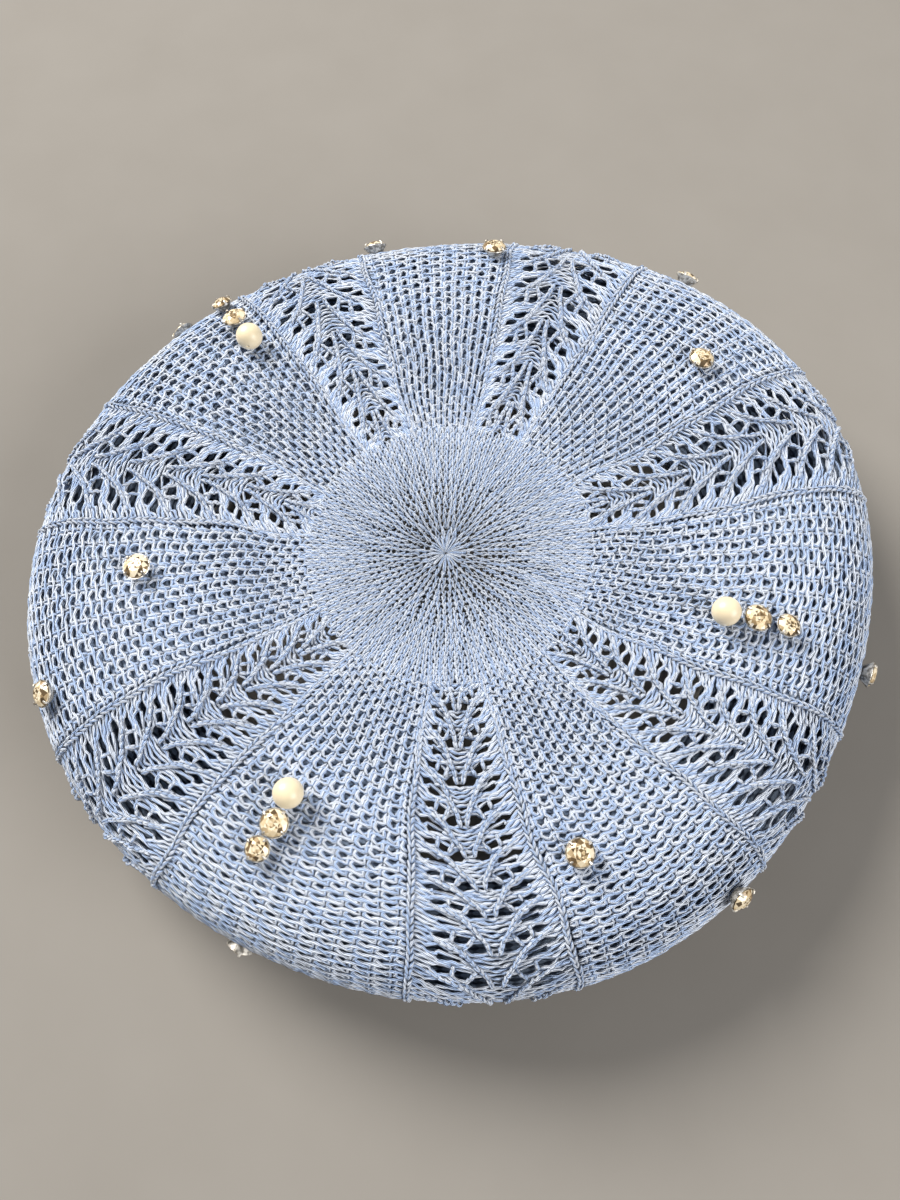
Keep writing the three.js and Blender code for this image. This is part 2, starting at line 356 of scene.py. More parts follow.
@dataclass(frozen=True)
class PurlCotton:
    """The back of the knit: ridges of the same yarn, coloured as the yarn in painted shade, with darker
    painted shade in the gaps between them.
    """

    # the ridges' colour is the yarn's colour in painted shade
    ridge: Row = (0.415, 0.515, 0.68, 1)
    # the gaps' colour is painted shade, darker still
    gap: Row = (0.053, 0.07, 0.112, 1)
    fleck: float = 1800.0  # noise scale of the fibres, per metre
    gap_shade_share: float = 0.85  # how dark the painted shade in the gaps is; the fibres decide the rest
    relief: float = 0.6  # mm

    def material(self) -> bpy.types.Material:
        """The material, which reads stitches across and along from its Stitch map.

        Returns:
            The material.
        """
        shader = Shader("purl_cotton")
        across, along = (way.peak() for way in shader.chart("Stitch"))
        fibre = shader.noise(self.fleck, 3, shader.place())
        open_share = (along.step(0.2, 0.8) * 0.6 + across.step(0.3, 0.9) * 0.6).step(0.3, 0.8)
        height = (1 - along * along) + (1 - across * across) * 0.5 + fibre * 0.4
        # painted shade: darkest where the stitches open
        dark = open_share * self.gap_shade_share + fibre * (1 - self.gap_shade_share)
        return shader.dress(
            Base_Color=shader.mix(dark, self.ridge, self.gap),
            Roughness=0.85 + fibre * 0.15,
            Normal=shader.bump(height, self.relief),
            Specular_IOR_Level=0.2,
        )


@dataclass(frozen=True)
class FoilCrystal:
    """Foil-backed glass: each facet has its own painted brightness, a painted reflection from dark
    champagne to near white.
    """

    # painted reflection: the facets' brightness runs along these colours, from dark to near white
    glint_stops: tuple[tuple[float, Row], ...] = (
        (0.0, (0.042, 0.031, 0.019, 1)),
        (0.25, (0.25, 0.165, 0.08, 1)),
        (0.5, (0.7, 0.55, 0.335, 1)),
        (1.0, (0.92, 0.83, 0.64, 1)),
    )
    haze: float = 900.0  # noise scale, per metre

    def material(self) -> bpy.types.Material:
        """The stone's material, which reads each face's own facet value, its painted reflection.

        Returns:
            The material.
        """
        shader = Shader("foil_crystal")
        facet = shader.node("ShaderNodeAttribute", {"attribute_name": "facet"}, {})
        haze = shader.noise(self.haze, 2, shader.place())
        # painted reflection: each facet's own value, with a little noise
        level = Value(shader, facet.outputs["Fac"]) * 0.9 + haze * 0.12
        ramp = shader.node("ShaderNodeValToRGB", {}, {"Fac": level})
        while len(ramp.color_ramp.elements) < len(self.glint_stops):
            ramp.color_ramp.elements.new(0.5)
        for stop, (where, colour) in zip(ramp.color_ramp.elements, self.glint_stops):
            stop.position = where
            stop.color = colour
        return shader.dress(
            Base_Color=ramp.outputs["Color"],
            Metallic=0.15,
            Roughness=0.14 + haze * 0.1,
            Specular_IOR_Level=0.35,
            Coat_Weight=0.15,
            Coat_Roughness=0.05,
        )


@dataclass(frozen=True)
class ClawSilver:
    """Darkened silver-coloured metal, rubbed brighter in patches."""

    dark: Row = (0.24, 0.22, 0.19, 1)
    rubbed: Row = (0.8, 0.76, 0.69, 1)
    patch: float = 700.0  # noise scale, per metre

    def material(self) -> bpy.types.Material:
        """The setting's material.

        Returns:
            The material.
        """
        shader = Shader("claw_silver")
        patch = shader.noise(self.patch, 3, shader.place())
        return shader.dress(
            Base_Color=shader.mix(patch.step(0.35, 0.6), self.dark, self.rubbed),
            Metallic=0.75,
            Roughness=0.28 + patch * 0.25,
        )


@dataclass(frozen=True)
class PearlLustre:
    """Cream imitation pearl with a soft coat."""

    cream: Row = (0.745, 0.635, 0.425, 1)
    rose: Row = (0.685, 0.565, 0.41, 1)
    cloud: float = 260.0  # noise scale, per metre

    def material(self) -> bpy.types.Material:
        """The bead's material.

        Returns:
            The material.
        """
        shader = Shader("pearl_lustre")
        cloud = shader.noise(self.cloud, 3, shader.place())
        return shader.dress(
            Base_Color=shader.mix(cloud.step(0.35, 0.75) * 0.5, self.cream, self.rose),
            Roughness=0.36 + cloud * 0.12,
            Coat_Weight=0.25,
            Coat_Roughness=0.3,
            Sheen_Weight=0.3,
        )


@dataclass(frozen=True)
class PaleFloor:
    """A matt pale surface."""

    light: Row = (0.245, 0.23, 0.21, 1)
    shade: Row = (0.225, 0.21, 0.19, 1)
    grain: float = 30.0  # noise scale, per metre

    def material(self) -> bpy.types.Material:
        """The floor's material.

        Returns:
            The material.
        """
        shader = Shader("pale_floor")
        grain = shader.noise(self.grain, 3, shader.place())
        colour = shader.mix(grain, self.light, self.shade)
        return shader.dress(Base_Color=colour, Roughness=0.85 + grain * 0.1, Specular_IOR_Level=0.1)


@dataclass(frozen=True)
class BeretForm:
    """The beret's outer face, a rounded section turned about its gathered middle, in millimetres.

    A place on it is an angle in radians and a reach, the way along the knit from the gathered middle.
    """

    rim_radius: float = 140.0
    rim_height: float = 32.0
    crown_rise: float = 28.0
    under_drop: float = 24.0
    crown_squareness: float = 6.5
    under_squareness: float = 4.0
    opening_share: float = 0.68  # of the rim's radius
    gather: tuple[float, float] = (-3.0, -3.5)
    rim_drift: tuple[float, float] = (4.0, 6.0)  # of the rim's middle from the gather
    # lobes round the rim, and the sizes of their cosine and sine
    rim_waves: tuple[Row, ...] = ((2, 3.6, 3.3), (3, -1.7, 2.5), (4, -0.4, 0.95))
    steps: int = 600  # of the section

    @cached_property
    def section(self) -> Array:
        """The section from the middle to the head opening.

        Returns:
            Rows of reach, share of the rim's radius, and height.
        """
        last = -math.acos(self.opening_share ** (self.under_squareness / 2))
        turn = np.linspace(math.pi / 2, last, self.steps + 1)
        above = turn > 0
        squareness = np.where(above, self.crown_squareness, self.under_squareness)
        share = np.abs(np.cos(turn)) ** (2 / squareness)
        share[0] = 0
        height = self.rim_height + np.where(above, self.crown_rise, self.under_drop) * np.sin(turn)
        step = np.hypot(self.rim_radius * np.diff(share), np.diff(height))
        return np.stack([np.concatenate([[0], np.cumsum(step)]), share, height])

    @property
    def full_reach(self) -> float:
        """The reach of the head opening."""
        return float(self.section[0, -1])

    def radius(self, reach: Array | float) -> Array:
        """Mean distance from the middle at a reach."""
        return self.rim_radius * np.interp(reach, self.section[0], self.section[1])

    def plan(self, angle: Array, share: Array, height: Array) -> Array:
        """Points on the beret's slightly uneven plan.

        Args:
            angle: Angles in radians.
            share: Shares of the rim's radius.
            height: Heights.

        Returns:
            The points.
        """
        radius = self.rim_radius * share
        for lobes, cosine, sine in self.rim_waves:
            radius = radius + share**2 * (cosine * np.cos(lobes * angle) + sine * np.sin(lobes * angle))
        x = self.gather[0] + self.rim_drift[0] * share + radius * np.cos(angle)
        y = self.gather[1] + self.rim_drift[1] * share + radius * np.sin(angle)
        return np.stack(np.broadcast_arrays(x, y, height), axis=-1)

    def point(self, angle: Array, reach: Array) -> Array:
        """Points of the outer face."""
        share, height = (np.interp(reach, self.section[0], row) for row in self.section[1:])
        return self.plan(angle, share, height)

    def normal(self, angle: Array, reach: Array) -> Array:
        """Outward directions of the outer face, straight up in its very middle.

        Args:
            angle: Angles in radians.
            reach: Reaches.

        Returns:
            Directions one long.
        """
        turn = 0.01
        step = 0.8
        level = np.asarray(reach) < 1
        last = np.minimum(reach + step, self.full_reach)
        along = self.point(angle, last) - self.point(angle, last - 2 * step)
        around = self.point(angle + turn, reach) - self.point(angle - turn, reach)
        return np.where(level[..., None], np.array([0.0, 0.0, 1.0]), unit(np.cross(along, around)))

    def place(self, angle: Array, reach: Array, lift: Array) -> tuple[Array, Array]:
        """Points lifted off the outer face, and the directions outward there."""
        normal = self.normal(angle, reach)
        return self.point(angle, reach) + normal * np.asarray(lift)[..., None], normal


@dataclass(frozen=True)
class Wobble:
    """The small unevenness of hand and machine: smooth drifts round the beret and along it."""

    size: float  # mm
    waves: int = 5
    lobes: tuple[int, int] = (3, 34)  # fewest round the beret, and one more than the most
    slant: float = 0.35  # most that a wave turns along the knit, in radians per millimetre

    def at(self, angle: Array, reach: Array, drift: Drift) -> Array:
        """One drift at places of the knit.

        Args:
            angle: The places' angles.
            reach: Their reaches.
            drift: Which drift.

        Returns:
            How far it is there, in millimetres.
        """
        draw = np.random.default_rng(SEED + drift)
        total = np.zeros(np.broadcast(angle, reach).shape)
        for lobes in draw.integers(*self.lobes, self.waves):
            along = draw.uniform(-self.slant, self.slant)
            total = total + np.sin(lobes * angle + along * reach + draw.uniform(0, TURN))
        return self.size * total / math.sqrt(self.waves)


def uneven(draw: np.random.Generator, rows: int, along: Array, size: float, period: int = 0) -> Array:
    """Stitch to stitch unevenness, drawn anew for each half stitch of each row and run smoothly between.

    Args:
        draw: The seeded source.
        rows: How many rows.
        along: The way along a row in stitches.
        size: How large it usually is.
        period: Stitches after which a closed row is back at its start, 0 for an open one.

    Returns:
        Values by row and point.
    """
    knots = np.arange(math.floor(along.min()) - 1, math.ceil(along.max()) + 1.5, 0.5)
    values = draw.normal(0, size, (rows, len(knots)))
    if period:
        values[:, 2 * period :] = values[:, : len(knots) - 2 * period]
    return np.stack([np.interp(along, knots, value) for value in values])


@dataclass
class YarnMesh:
    """Runs of yarn swept into one mesh of closed three-sided tubes, each with a ridge outward."""

    name: str
    sides: int = 3
    spread: float = 50.0  # mm over which the runs' starts are spread along the yarn's twist
    spare: float = 1.02  # the flat layout's width against its longest run
    apart: float = 0.01  # room between two runs in the layout, as a share of its width
    border: float = 0.06  # room above and below a run, as a share of its strip
    points: list[Array] = field(default_factory=list)
    faces: list[Array] = field(default_factory=list)
    ways: list[Array] = field(default_factory=list)
    runs: list[Array] = field(default_factory=list)
    lengths: list[Array] = field(default_factory=list)

    def lay(self, path: Array, normal: Array, width: Any, thick: Any, closed: bool = False) -> None:
        """Adds runs of yarn.

        Args:
            path: Points of each run, by run and point.
            normal: Outward directions there.
            width: Half the yarn's width along the knit.
            thick: Half its thickness across the knit.
            closed: Whether each run joins its own start.
        """
        count, steps = path.shape[:2]
        width = np.broadcast_to(width, (count, steps)) / math.cos(math.pi / 6)
        thick = np.broadcast_to(thick, (count, steps))
        if closed:
            tangent = np.roll(path, -1, axis=1) - np.roll(path, 1, axis=1)
            after = np.roll(path, -1, axis=1)
        else:
            tangent = np.gradient(path, axis=1)
            after = path[:, 1:]
        across = unit(np.cross(tangent, normal))
        out = unit(np.cross(across, tangent))
        turn = TURN * (np.arange(self.sides) / self.sides + 0.25)
        ring = path[:, :, None, :] + across[:, :, None, :] * (width[..., None] * np.cos(turn))[..., None]
        ring = ring + out[:, :, None, :] * (thick[..., None] * np.sin(turn))[..., None]
        hop = np.linalg.norm(after - path[:, : after.shape[1]], axis=-1)
        way = np.concatenate([np.zeros((count, 1)), np.cumsum(hop, axis=1)], axis=1)
        self._skin(ring, way, closed)

    def _skin(self, ring: Array, way: Array, closed: bool) -> None:
        """Adds the faces round the yarn, and caps where a run is open.

        Args:
            ring: Points round the yarn, by run, point of the run and side.
            way: The length of yarn up to each ring, and on to the start where a run is closed.
            closed: Whether each run joins its own start.
        """
        count, steps = ring.shape[:2]
        base = sum(len(points) for points in self.points)
        run = sum(len(lengths) for lengths in self.lengths) + np.arange(count)
        number = base + np.arange(count * steps * self.sides).reshape(count, steps, self.sides)
        first = number if closed else number[:, :-1]
        second = np.roll(number, -1, axis=1) if closed else number[:, 1:]
        turned = np.roll(np.arange(self.sides), -1)
        quads = np.stack([first, second, second[..., turned], first[..., turned]], axis=-1)
        shape = quads.shape[:3]
        rim = np.arange(self.sides) / self.sides
        near = np.broadcast_to(way[:, : shape[1], None], shape)
        far = np.broadcast_to(way[:, 1 : shape[1] + 1, None], shape)
        low = np.broadcast_to(rim, shape)
        high = low + 1 / self.sides
        self.points.append(ring.reshape(-1, 3))
        self.faces.append(quads.reshape(-1, 4))
        self.ways.append(np.stack([near, low, far, low, far, high, near, high], axis=-1).reshape(-1, 2))
        self.runs.append(np.broadcast_to(run[:, None, None], shape).reshape(-1))
        if not closed:
            caps = np.stack([number[:, 0], number[:, -1, ::-1]], axis=1)
            ends = np.stack([way[:, 0], way[:, -1]], axis=1)
            self.faces.append(caps.reshape(-1, self.sides))
            self.ways.append(np.stack(np.broadcast_arrays(ends[..., None], rim), axis=-1).reshape(-1, 2))
            self.runs.append(np.repeat(run, 2))
        self.lengths.append(way[:, -1])

    def _strips(self, runs: Array, ways: Array) -> Array:
        """A flat layout of the runs side by side, for a texture of the whole piece.

        Args:
            runs: The run of each corner of a face.
            ways: The way along and round the yarn there.

        Returns:
            The corners' places in the layout, from 0 to 1.
        """
        lengths = np.concatenate(self.lengths)
        longest = lengths.max() * self.spare
        shelf = np.zeros(len(lengths))
        start = np.zeros(len(lengths))
        level = 0
        used = 0.0
        for number, length in enumerate(lengths):
            if used + length > longest:
                level += 1
                used = 0.0
            shelf[number] = level
            start[number] = used
            used += length + longest * self.apart
        across = (start[runs] + ways[:, 0]) / (longest * self.spare)
        up = (shelf[runs] + self.border + (1 - 2 * self.border) * ways[:, 1]) / (level + 1)
        return np.stack([across, up], axis=-1)

    def build(self, material: bpy.types.Material) -> bpy.types.Object:
        """Makes the mesh object with its Yarn map and its layout for a texture.

        Args:
            material: The yarn's material.

        Returns:
            The new object.
        """
        points = np.concatenate(self.points) * MM
        corners = np.concatenate([faces.ravel() for faces in self.faces])
        sizes = np.concatenate([np.full(len(faces), faces.shape[1]) for faces in self.faces])
        ways = np.concatenate(self.ways)
        runs = np.repeat(np.concatenate(self.runs), sizes)
        mesh = bpy.data.meshes.new(self.name)
        mesh.vertices.add(len(points))
        mesh.vertices.foreach_set("co", points.astype(np.float32).ravel())
        mesh.loops.add(len(corners))
        mesh.loops.foreach_set("vertex_index", corners.astype(np.int32))
        mesh.polygons.add(len(sizes))
        mesh.polygons.foreach_set("loop_start", (np.cumsum(sizes) - sizes).astype(np.int32))
        mesh.update(calc_edges=True)
        offset = np.random.default_rng(SEED).uniform(0, self.spread, len(np.concatenate(self.lengths)))
        shifted = ways + np.stack([offset[runs], np.zeros(len(runs))], axis=-1)
        for label, uv in (("Yarn", shifted), ("OFBake", self._strips(runs, ways))):
            layer = mesh.uv_layers.new(name=label)
            layer.uv.foreach_set("vector", uv.astype(np.float32).ravel())
        mesh.materials.append(material)
        made = bpy.data.objects.new(self.name, mesh)
        bpy.context.scene.collection.objects.link(made)
        return made


@dataclass(frozen=True)
class KnitLoop:
    """The run of a row of knit loops: legs in front, heads and links behind, in shares of a stitch."""

    samples: int = 8
    lean: float = 0.16
    waist: float = 0.09
    rise: float = 0.84
    swing: float = 0.1

    def row(self, wales: int, closed: bool, parity: Array) -> tuple[Array, Array, Array]:
        """One row for each parity.

        Args:
            wales: Stitches in the row.
            closed: Whether the row joins its own start.
            parity: 0 or 1 for each row, which way its first link swings.

        Returns:
            The way along in wales, the way towards the rim in rows, and the depth from -1 to 1.
        """
        turn = TURN * np.arange(wales * self.samples + (not closed)) / self.samples
        along = turn / TURN + self.lean * np.sin(2 * turn) + self.waist * np.sin(turn)
        swing = self.swing * np.cos(turn / 2 + math.pi * parity[:, None])
        return along, self.rise * np.cos(turn) + swing, -np.cos(2 * turn)


@dataclass
class Piece:
    """What every visual piece has: its name, and the CAD nodes and slot that it stands for."""

    name: str
    nodes: tuple[str, ...]
    slot: Slot

    def settle(self, made: bpy.types.Object) -> bpy.types.Object:
        """Puts the finished object on the frame in place of its CAD nodes, and reports it.

        Args:
            made: The object.

        Returns:
            The same object.
        """
        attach(made, "root")
        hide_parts(*self.nodes)
        faces = sum(len(p.vertices) - 2 for p in made.data.polygons)
        LOG.info("%s: %d triangles", made.name, faces)
        return made


@dataclass
class KnitPiece(Piece):
    """A piece of swept yarn."""

    form: BeretForm

    def knit(self, yarn: YarnMesh) -> None:
        """Lays the piece's runs of yarn, in each kind's own way."""
        raise NotImplementedError

    def build(self, material: bpy.types.Material) -> bpy.types.Object:
        """Knits the piece.

        Args:
            material: The yarn's material.

        Returns:
            The finished object.
        """
        yarn = YarnMesh(self.name)
        self.knit(yarn)
        return self.settle(yarn.build(material))


@dataclass(frozen=True)
class Gather:
    """The legs of the innermost stitches, drawn together in the middle, in millimetres."""

    legs: int = 36
    points: int = 9
    stray: float = 0.3  # how far a leg is from its even place, in legs
    lean: float = 0.05  # how far two legs lean together at their outer ends, in radians
    start: float = 0.35  # reach
    length: tuple[float, float] = (4.4, 6.2)
    lift: float = 0.2  # above the disc's seat
    arch: float = 0.35
    stray_lift: float = 0.15
    half: float = 0.14  # half the yarn's width and thickness at the start
    swell: tuple[float, float] = (0.24, 0.2)  # what they gain outward
    swell_power: float = 0.6

    def lay(self, yarn: YarnMesh, form: BeretForm, seat: float) -> None:
        """Lays the legs.

        Args:
            yarn: The mesh that they join.
            form: The beret's outer face.
            seat: The disc's seat.
        """
        draw = np.random.default_rng(SEED)
        share = np.linspace(0, 1, self.points)[None, :]
        number = np.arange(self.legs)[:, None]
        middle = TURN * (number + self.stray * draw.uniform(-1, 1, number.shape)) / self.legs
        angle = middle + np.where(number % 2, -1, 1) * self.lean * share**2
        reach = self.start + draw.uniform(*self.length, number.shape) * share
        stray = draw.uniform(-self.stray_lift, self.stray_lift, number.shape)
        lift = seat + self.lift + self.arch * np.sin(math.pi * share) + stray
        path, normal = form.place(angle, reach, lift)
        width, thick = (self.half + swell * share**self.swell_power for swell in self.swell)
        yarn.lay(path, normal, width, thick)


@dataclass
class CentreDisc(KnitPiece):
    """The gathered middle: plain knit with fewer stitches towards the centre, drawn shut on one thread."""

    # inner and outer reach, stitches round, then as shares of a stitch half the yarn's width and how much
    # closer the legs of a stitch are
    rings: tuple[Row, ...] = (
        (4.4, 9.0, 24, 0.13, 0.14),
        (9.0, 13.4, 48, 0.15, 0.13),
        (13.4, 19.6, 60, 0.16, 0.13),
        (19.6, 25.8, 76, 0.17, 0.1),
        (25.8, 32.0, 112, 0.2, 0.05),
        (32.0, 38.3, 144, 0.215, 0.04),
        (38.3, 44.6, 144, 0.215, 0.04),
    )
    loop: KnitLoop = KnitLoop(lean=0.25, rise=0.8, swing=0.05)
    gather: Gather = Gather()
    row: float = 2.1
    depth: float = 0.34
    seat: float = -0.8
    full: float = 1.25  # the yarn's width against the rings' shares
    half_width: tuple[float, float] = (0.24, 0.5)  # least and most
    flat: float = 0.75  # the yarn's thickness against its width
    wobble: Wobble = Wobble(0.25)
    calm: tuple[float, float] = (12.0, 25.0)  # reaches within which it drifts less, round and along
    # unevenness across and along in stitches, of the width as a share, and outward in millimetres
    loose: Row = (0.07, 0.08, 0.1, 0.08)

    def knit(self, yarn: YarnMesh) -> None:
        """Knits ring by ring, then the drawn middle.

        Args:
            yarn: The mesh that the runs join.
        """
        for start, end, count, share, waist in self.rings:
            wales = int(count)
            rows = round((end - start) / self.row)
            pitch = (end - start) / rows
            reach = start + pitch * (np.arange(rows)[:, None] + 0.5)
            along, up, out = replace(self.loop, waist=waist).row(wales, True, np.arange(rows) % 2)
            draw = np.random.default_rng(SEED + wales)
            across, upward, wider, outward = (uneven(draw, rows, along, size, wales) for size in self.loose)
            angle = (along + across) / wales * TURN
            way = reach + (up + upward) * pitch
            turned = self.wobble.at(angle, way, Drift.DISC_ROUND) / np.maximum(way, self.calm[0])
            way = way + self.wobble.at(angle, way, Drift.DISC_ALONG) * np.clip(way / self.calm[1], 0, 1)
            stitch = TURN * self.form.radius(reach) / wales
            width = np.clip(self.full * share * stitch, *self.half_width) * (1 + wider)
            lift = self.seat + self.depth * out + outward
            path, normal = self.form.place(angle + turned, way, lift)
            yarn.lay(path, normal, width, self.flat * width, closed=True)
        self.gather.lay(yarn, self.form, self.seat)


@dataclass(frozen=True)
class LaceLine:
    """Where one fern lace panel lies, as read: angles in degrees, reaches in millimetres."""

    spine: float
    tiers: tuple[float, ...]  # reach of the first pair of holes of each tier
    drift: tuple[tuple[float, float], ...]  # reach, how far the spine wanders there
    half_turn: float = 10.4  # from the spine to the crest of the edge chain
    edge_drift: float = 0.6  # share of the spine's drift that the edges follow
    span: tuple[float, float] = (30.0, 170.0)  # reaches between which the drift is smoothed
    samples: int = 281  # of the drift
    soften: int = 12  # samples on both sides that it is averaged with

    @property
    def numbers(self) -> range:
        """The tiers' numbers, with one more before and after them."""
        return range(-1, len(self.tiers) + 1)

    def wander(self, reach: Array) -> Array:
        """How far the spine is from its straight line.

        Args:
            reach: Reaches.

        Returns:
            Degrees.
        """
        rows = np.array(self.drift)
        dense = np.linspace(*self.span, self.samples)
        line = np.interp(dense, rows[:, 0], rows[:, 1])
        return np.interp(reach, dense, smoothed(line, self.soften, mode="edge"))

    def angle(self, across: Array, reach: Array) -> Array:
        """Angles in radians at shares across, -1 and 1 at the edge chains."""
        follow = 1 - (1 - self.edge_drift) * np.minimum(np.abs(across), 1)
        return np.radians(self.spine + self.half_turn * across + self.wander(reach) * follow)

    def tier_way(self, tier: Array | float) -> Array:
        """The way along the panel by tiers, run on past both ends.

        Args:
            tier: Tier numbers, whole at each first pair of holes.

        Returns:
            Reaches.
        """
        first = 2 * self.tiers[0] - self.tiers[1]
        last = 2 * self.tiers[-1] - self.tiers[-2]
        ways = [2 * first - self.tiers[0], first, *self.tiers, last, 2 * last - self.tiers[-1]]
        return np.interp(tier, np.arange(-2, len(self.tiers) + 2), ways)

    def pitch(self, reach: float) -> float:
        """The length of a tier near a reach."""
        return float(np.interp(reach, self.tiers[1:], np.diff(self.tiers)))


@dataclass(frozen=True)
class TuckStitch:
    """One stitch of the cross-tuck knit, charted to the middle of the stitch.

    Each line is the way across in wales, towards the rim in rows, outward in mm, and half the yarn's
    width in mm.
    """

    held: tuple[Row, ...] = (
        (-0.5, 0.25, -0.3, 0.5),
        (-0.3, 0.16, 0.0, 0.58),
        (-0.1, -0.2, 0.55, 0.7),
        (-0.17, -0.65, 0.5, 0.64),
        (-0.21, -1.15, 0.15, 0.52),
        (-0.09, -1.85, -0.4, 0.42),
        (0.0, -2.0, -0.75, 0.42),
    )
    tucked: tuple[Row, ...] = (
        (-0.5, 0.25, -0.3, 0.5),
        (-0.28, 0.06, -0.3, 0.5),
        (-0.1, -0.14, -0.6, 0.46),
        (0.0, -0.17, -0.75, 0.42),
    )
    sway: float = 0.2  # rows that a link is drawn down after a held stitch, and up before it

    def row(self, wales: int, parity: int) -> Array:
        """A row of stitches, held and tucked in turn.

        Args:
            wales: Stitches in the row.
            parity: 0 where the first is held, 1 where it is tucked.

        Returns:
            Four rows: across in wales, towards the rim in rows, outward and half width in mm.
        """
        cells = []
        for wale in range(wales):
            tuck = (wale + parity) % 2
            half = np.array(self.tucked if tuck else self.held)
            cell = np.concatenate([half, half[-2:0:-1] * np.array([-1, 1, 1, 1])])
            share = np.abs(2 * cell[:, 0])
            link = -share if tuck else share**2 * np.maximum(1 + cell[:, 1], 0)
            cell[:, 1] += self.sway * np.sign(cell[:, 0]) * link
            cells.append(cell + np.array([wale + 0.5, 0, 0, 0]))
        cells.append(np.array([[wales, *self.held[0][1:]]]))
        return np.concatenate(cells).T


# the same stitch where the knit is stretched wide: its links and tucks stand out and its legs lie back
WIDE_TUCK = TuckStitch(
    held=(
        (-0.5, 0.25, 0.1, 0.6),
        (-0.3, 0.14, 0.15, 0.6),
        (-0.1, -0.1, 0.1, 0.6),
        (-0.13, -0.55, 0.0, 0.58),
        (-0.16, -1.05, -0.25, 0.52),
        (-0.08, -1.8, -0.5, 0.44),
        (0.0, -2.0, -0.75, 0.42),
    ),
    tucked=(
        (-0.5, 0.25, 0.1, 0.6),
        (-0.28, 0.12, 0.2, 0.6),
        (-0.1, 0.0, 0.5, 0.68),
        (0.0, 0.0, 0.55, 0.68),
    ),
    sway=0.26,
)


@dataclass(frozen=True)
class Gauge:
    """How large the stitches of one plain panel are."""

    wale_turn: float  # degrees
    near: float  # height of a row near the disc
    far: float  # height of a row near the rim


@dataclass
class PlainPanel(KnitPiece):
    """A panel between two lace panels: cross-tuck knit, open at first and finer towards the rim."""

    before: LaceLine
    after: LaceLine
    after_turn: float  # degrees added to the panel after this one, where it is past a full turn
    gauge: Gauge
    first: float = 45.5
    middle: float = 100.0  # reach where the stitches across are counted
    last: float = 167.0
    margin: float = 0.055  # past the edge chain's crest, as a share across
    seat: float = -0.75
    chart_stitch: float = 3.4  # width of a stitch at which the charts' yarn is right
    yarn_scale: tuple[float, float] = (0.8, 1.15)  # least and most of the yarn against the charts'
    flat: float = 0.7  # the yarn's thickness against its width
    thickest: float = 0.4  # half of it
    wobble: Wobble = Wobble(0.3)
    calm: float = 20.0  # radius within which it drifts less round the beret
    # unevenness along in rows, across in stitches, outward in millimetres, and of the width as a share
    loose: Row = (0.07, 0.04, 0.08, 0.09)
    # reach, how wide the stitches are stretched there, how far the rows' height is from near to far, and
    # how full the yarn is
    widen: tuple[Row, ...] = (
        (45.0, 0.7, 0.8, 1.1),
        (62.0, 0.52, 0.0, 1.02),
        (75.0, 0.5, 0.0, 1.0),
        (92.0, 0.5, 0.3, 1.0),
        (112.0, 0.74, 1.0, 1.0),
    )

    def knit(self, yarn: YarnMesh) -> None:
        """Knits the rows from the disc to below the rim, every other one first.

        Args:
            yarn: The mesh that the runs join.
        """
        draw = np.random.default_rng(SEED + round(self.before.spine))
        rows = self._rows()
        for parity in (0, 1):
            self._knit_rows(yarn, rows[parity::2], parity, draw)

    def _rows(self) -> Array:
        """The rows from the disc to below the rim.

        Returns:
            The reach, the height, the stretch and the fullness of every row.
        """
        rows = []
        reach = self.first
        table = np.array(self.widen).T
        while reach < self.last:
            wide, far, full = (float(np.interp(reach, table[0], column)) for column in table[1:])
            height = self.gauge.near + (self.gauge.far - self.gauge.near) * far
            rows.append((reach, height, wide, full))
            reach += height
        return np.array(rows)

    def _knit_rows(self, yarn: YarnMesh, rows: Array, parity: int, draw: np.random.Generator) -> None:
        """Lays rows.

        Args:
            yarn: The mesh that they join.
            rows: Every other row, as _rows gives them.
            parity: Whether their first stitch is held, 0, or tucked, 1.
            draw: The source of the stitches' unevenness.
        """
        edge = np.full(1, 1 + self.margin)
        turn = math.radians(self.after_turn)
        middle = np.array([self.middle])
        spread = self.after.angle(-edge, middle) + turn - self.before.angle(edge, middle)
        wales = round(float(np.degrees(spread[0])) / self.gauge.wale_turn)
        reach, height, wide, full = rows.T[:, :, None]
        narrow = TuckStitch().row(wales, parity)
        chart = narrow[:, None, :] + (WIDE_TUCK.row(wales, parity) - narrow)[:, None, :] * wide
        across, up, out, width = chart
        upward, sideways, outward, wider = (uneven(draw, len(rows), narrow[0], size) for size in self.loose)
        way = reach + (up + upward) * height
        start = self.before.angle(edge, way)
        end = self.after.angle(-edge, way) + turn
        angle = start + (end - start) * (across + sideways) / wales
        scale = np.clip(spread * self.form.radius(reach) / wales / self.chart_stitch, *self.yarn_scale)
        radius = np.maximum(self.form.radius(way), self.calm)
        turned = self.wobble.at(angle, way, Drift.PLAIN_ROUND) / radius
        way = way + self.wobble.at(angle, way, Drift.PLAIN_ALONG)
        width = width * scale * full * (1 + wider)
        path, normal = self.form.place(angle + turned, way, self.seat + out + outward)
        yarn.lay(path, normal, width, np.minimum(self.flat * width, self.thickest))


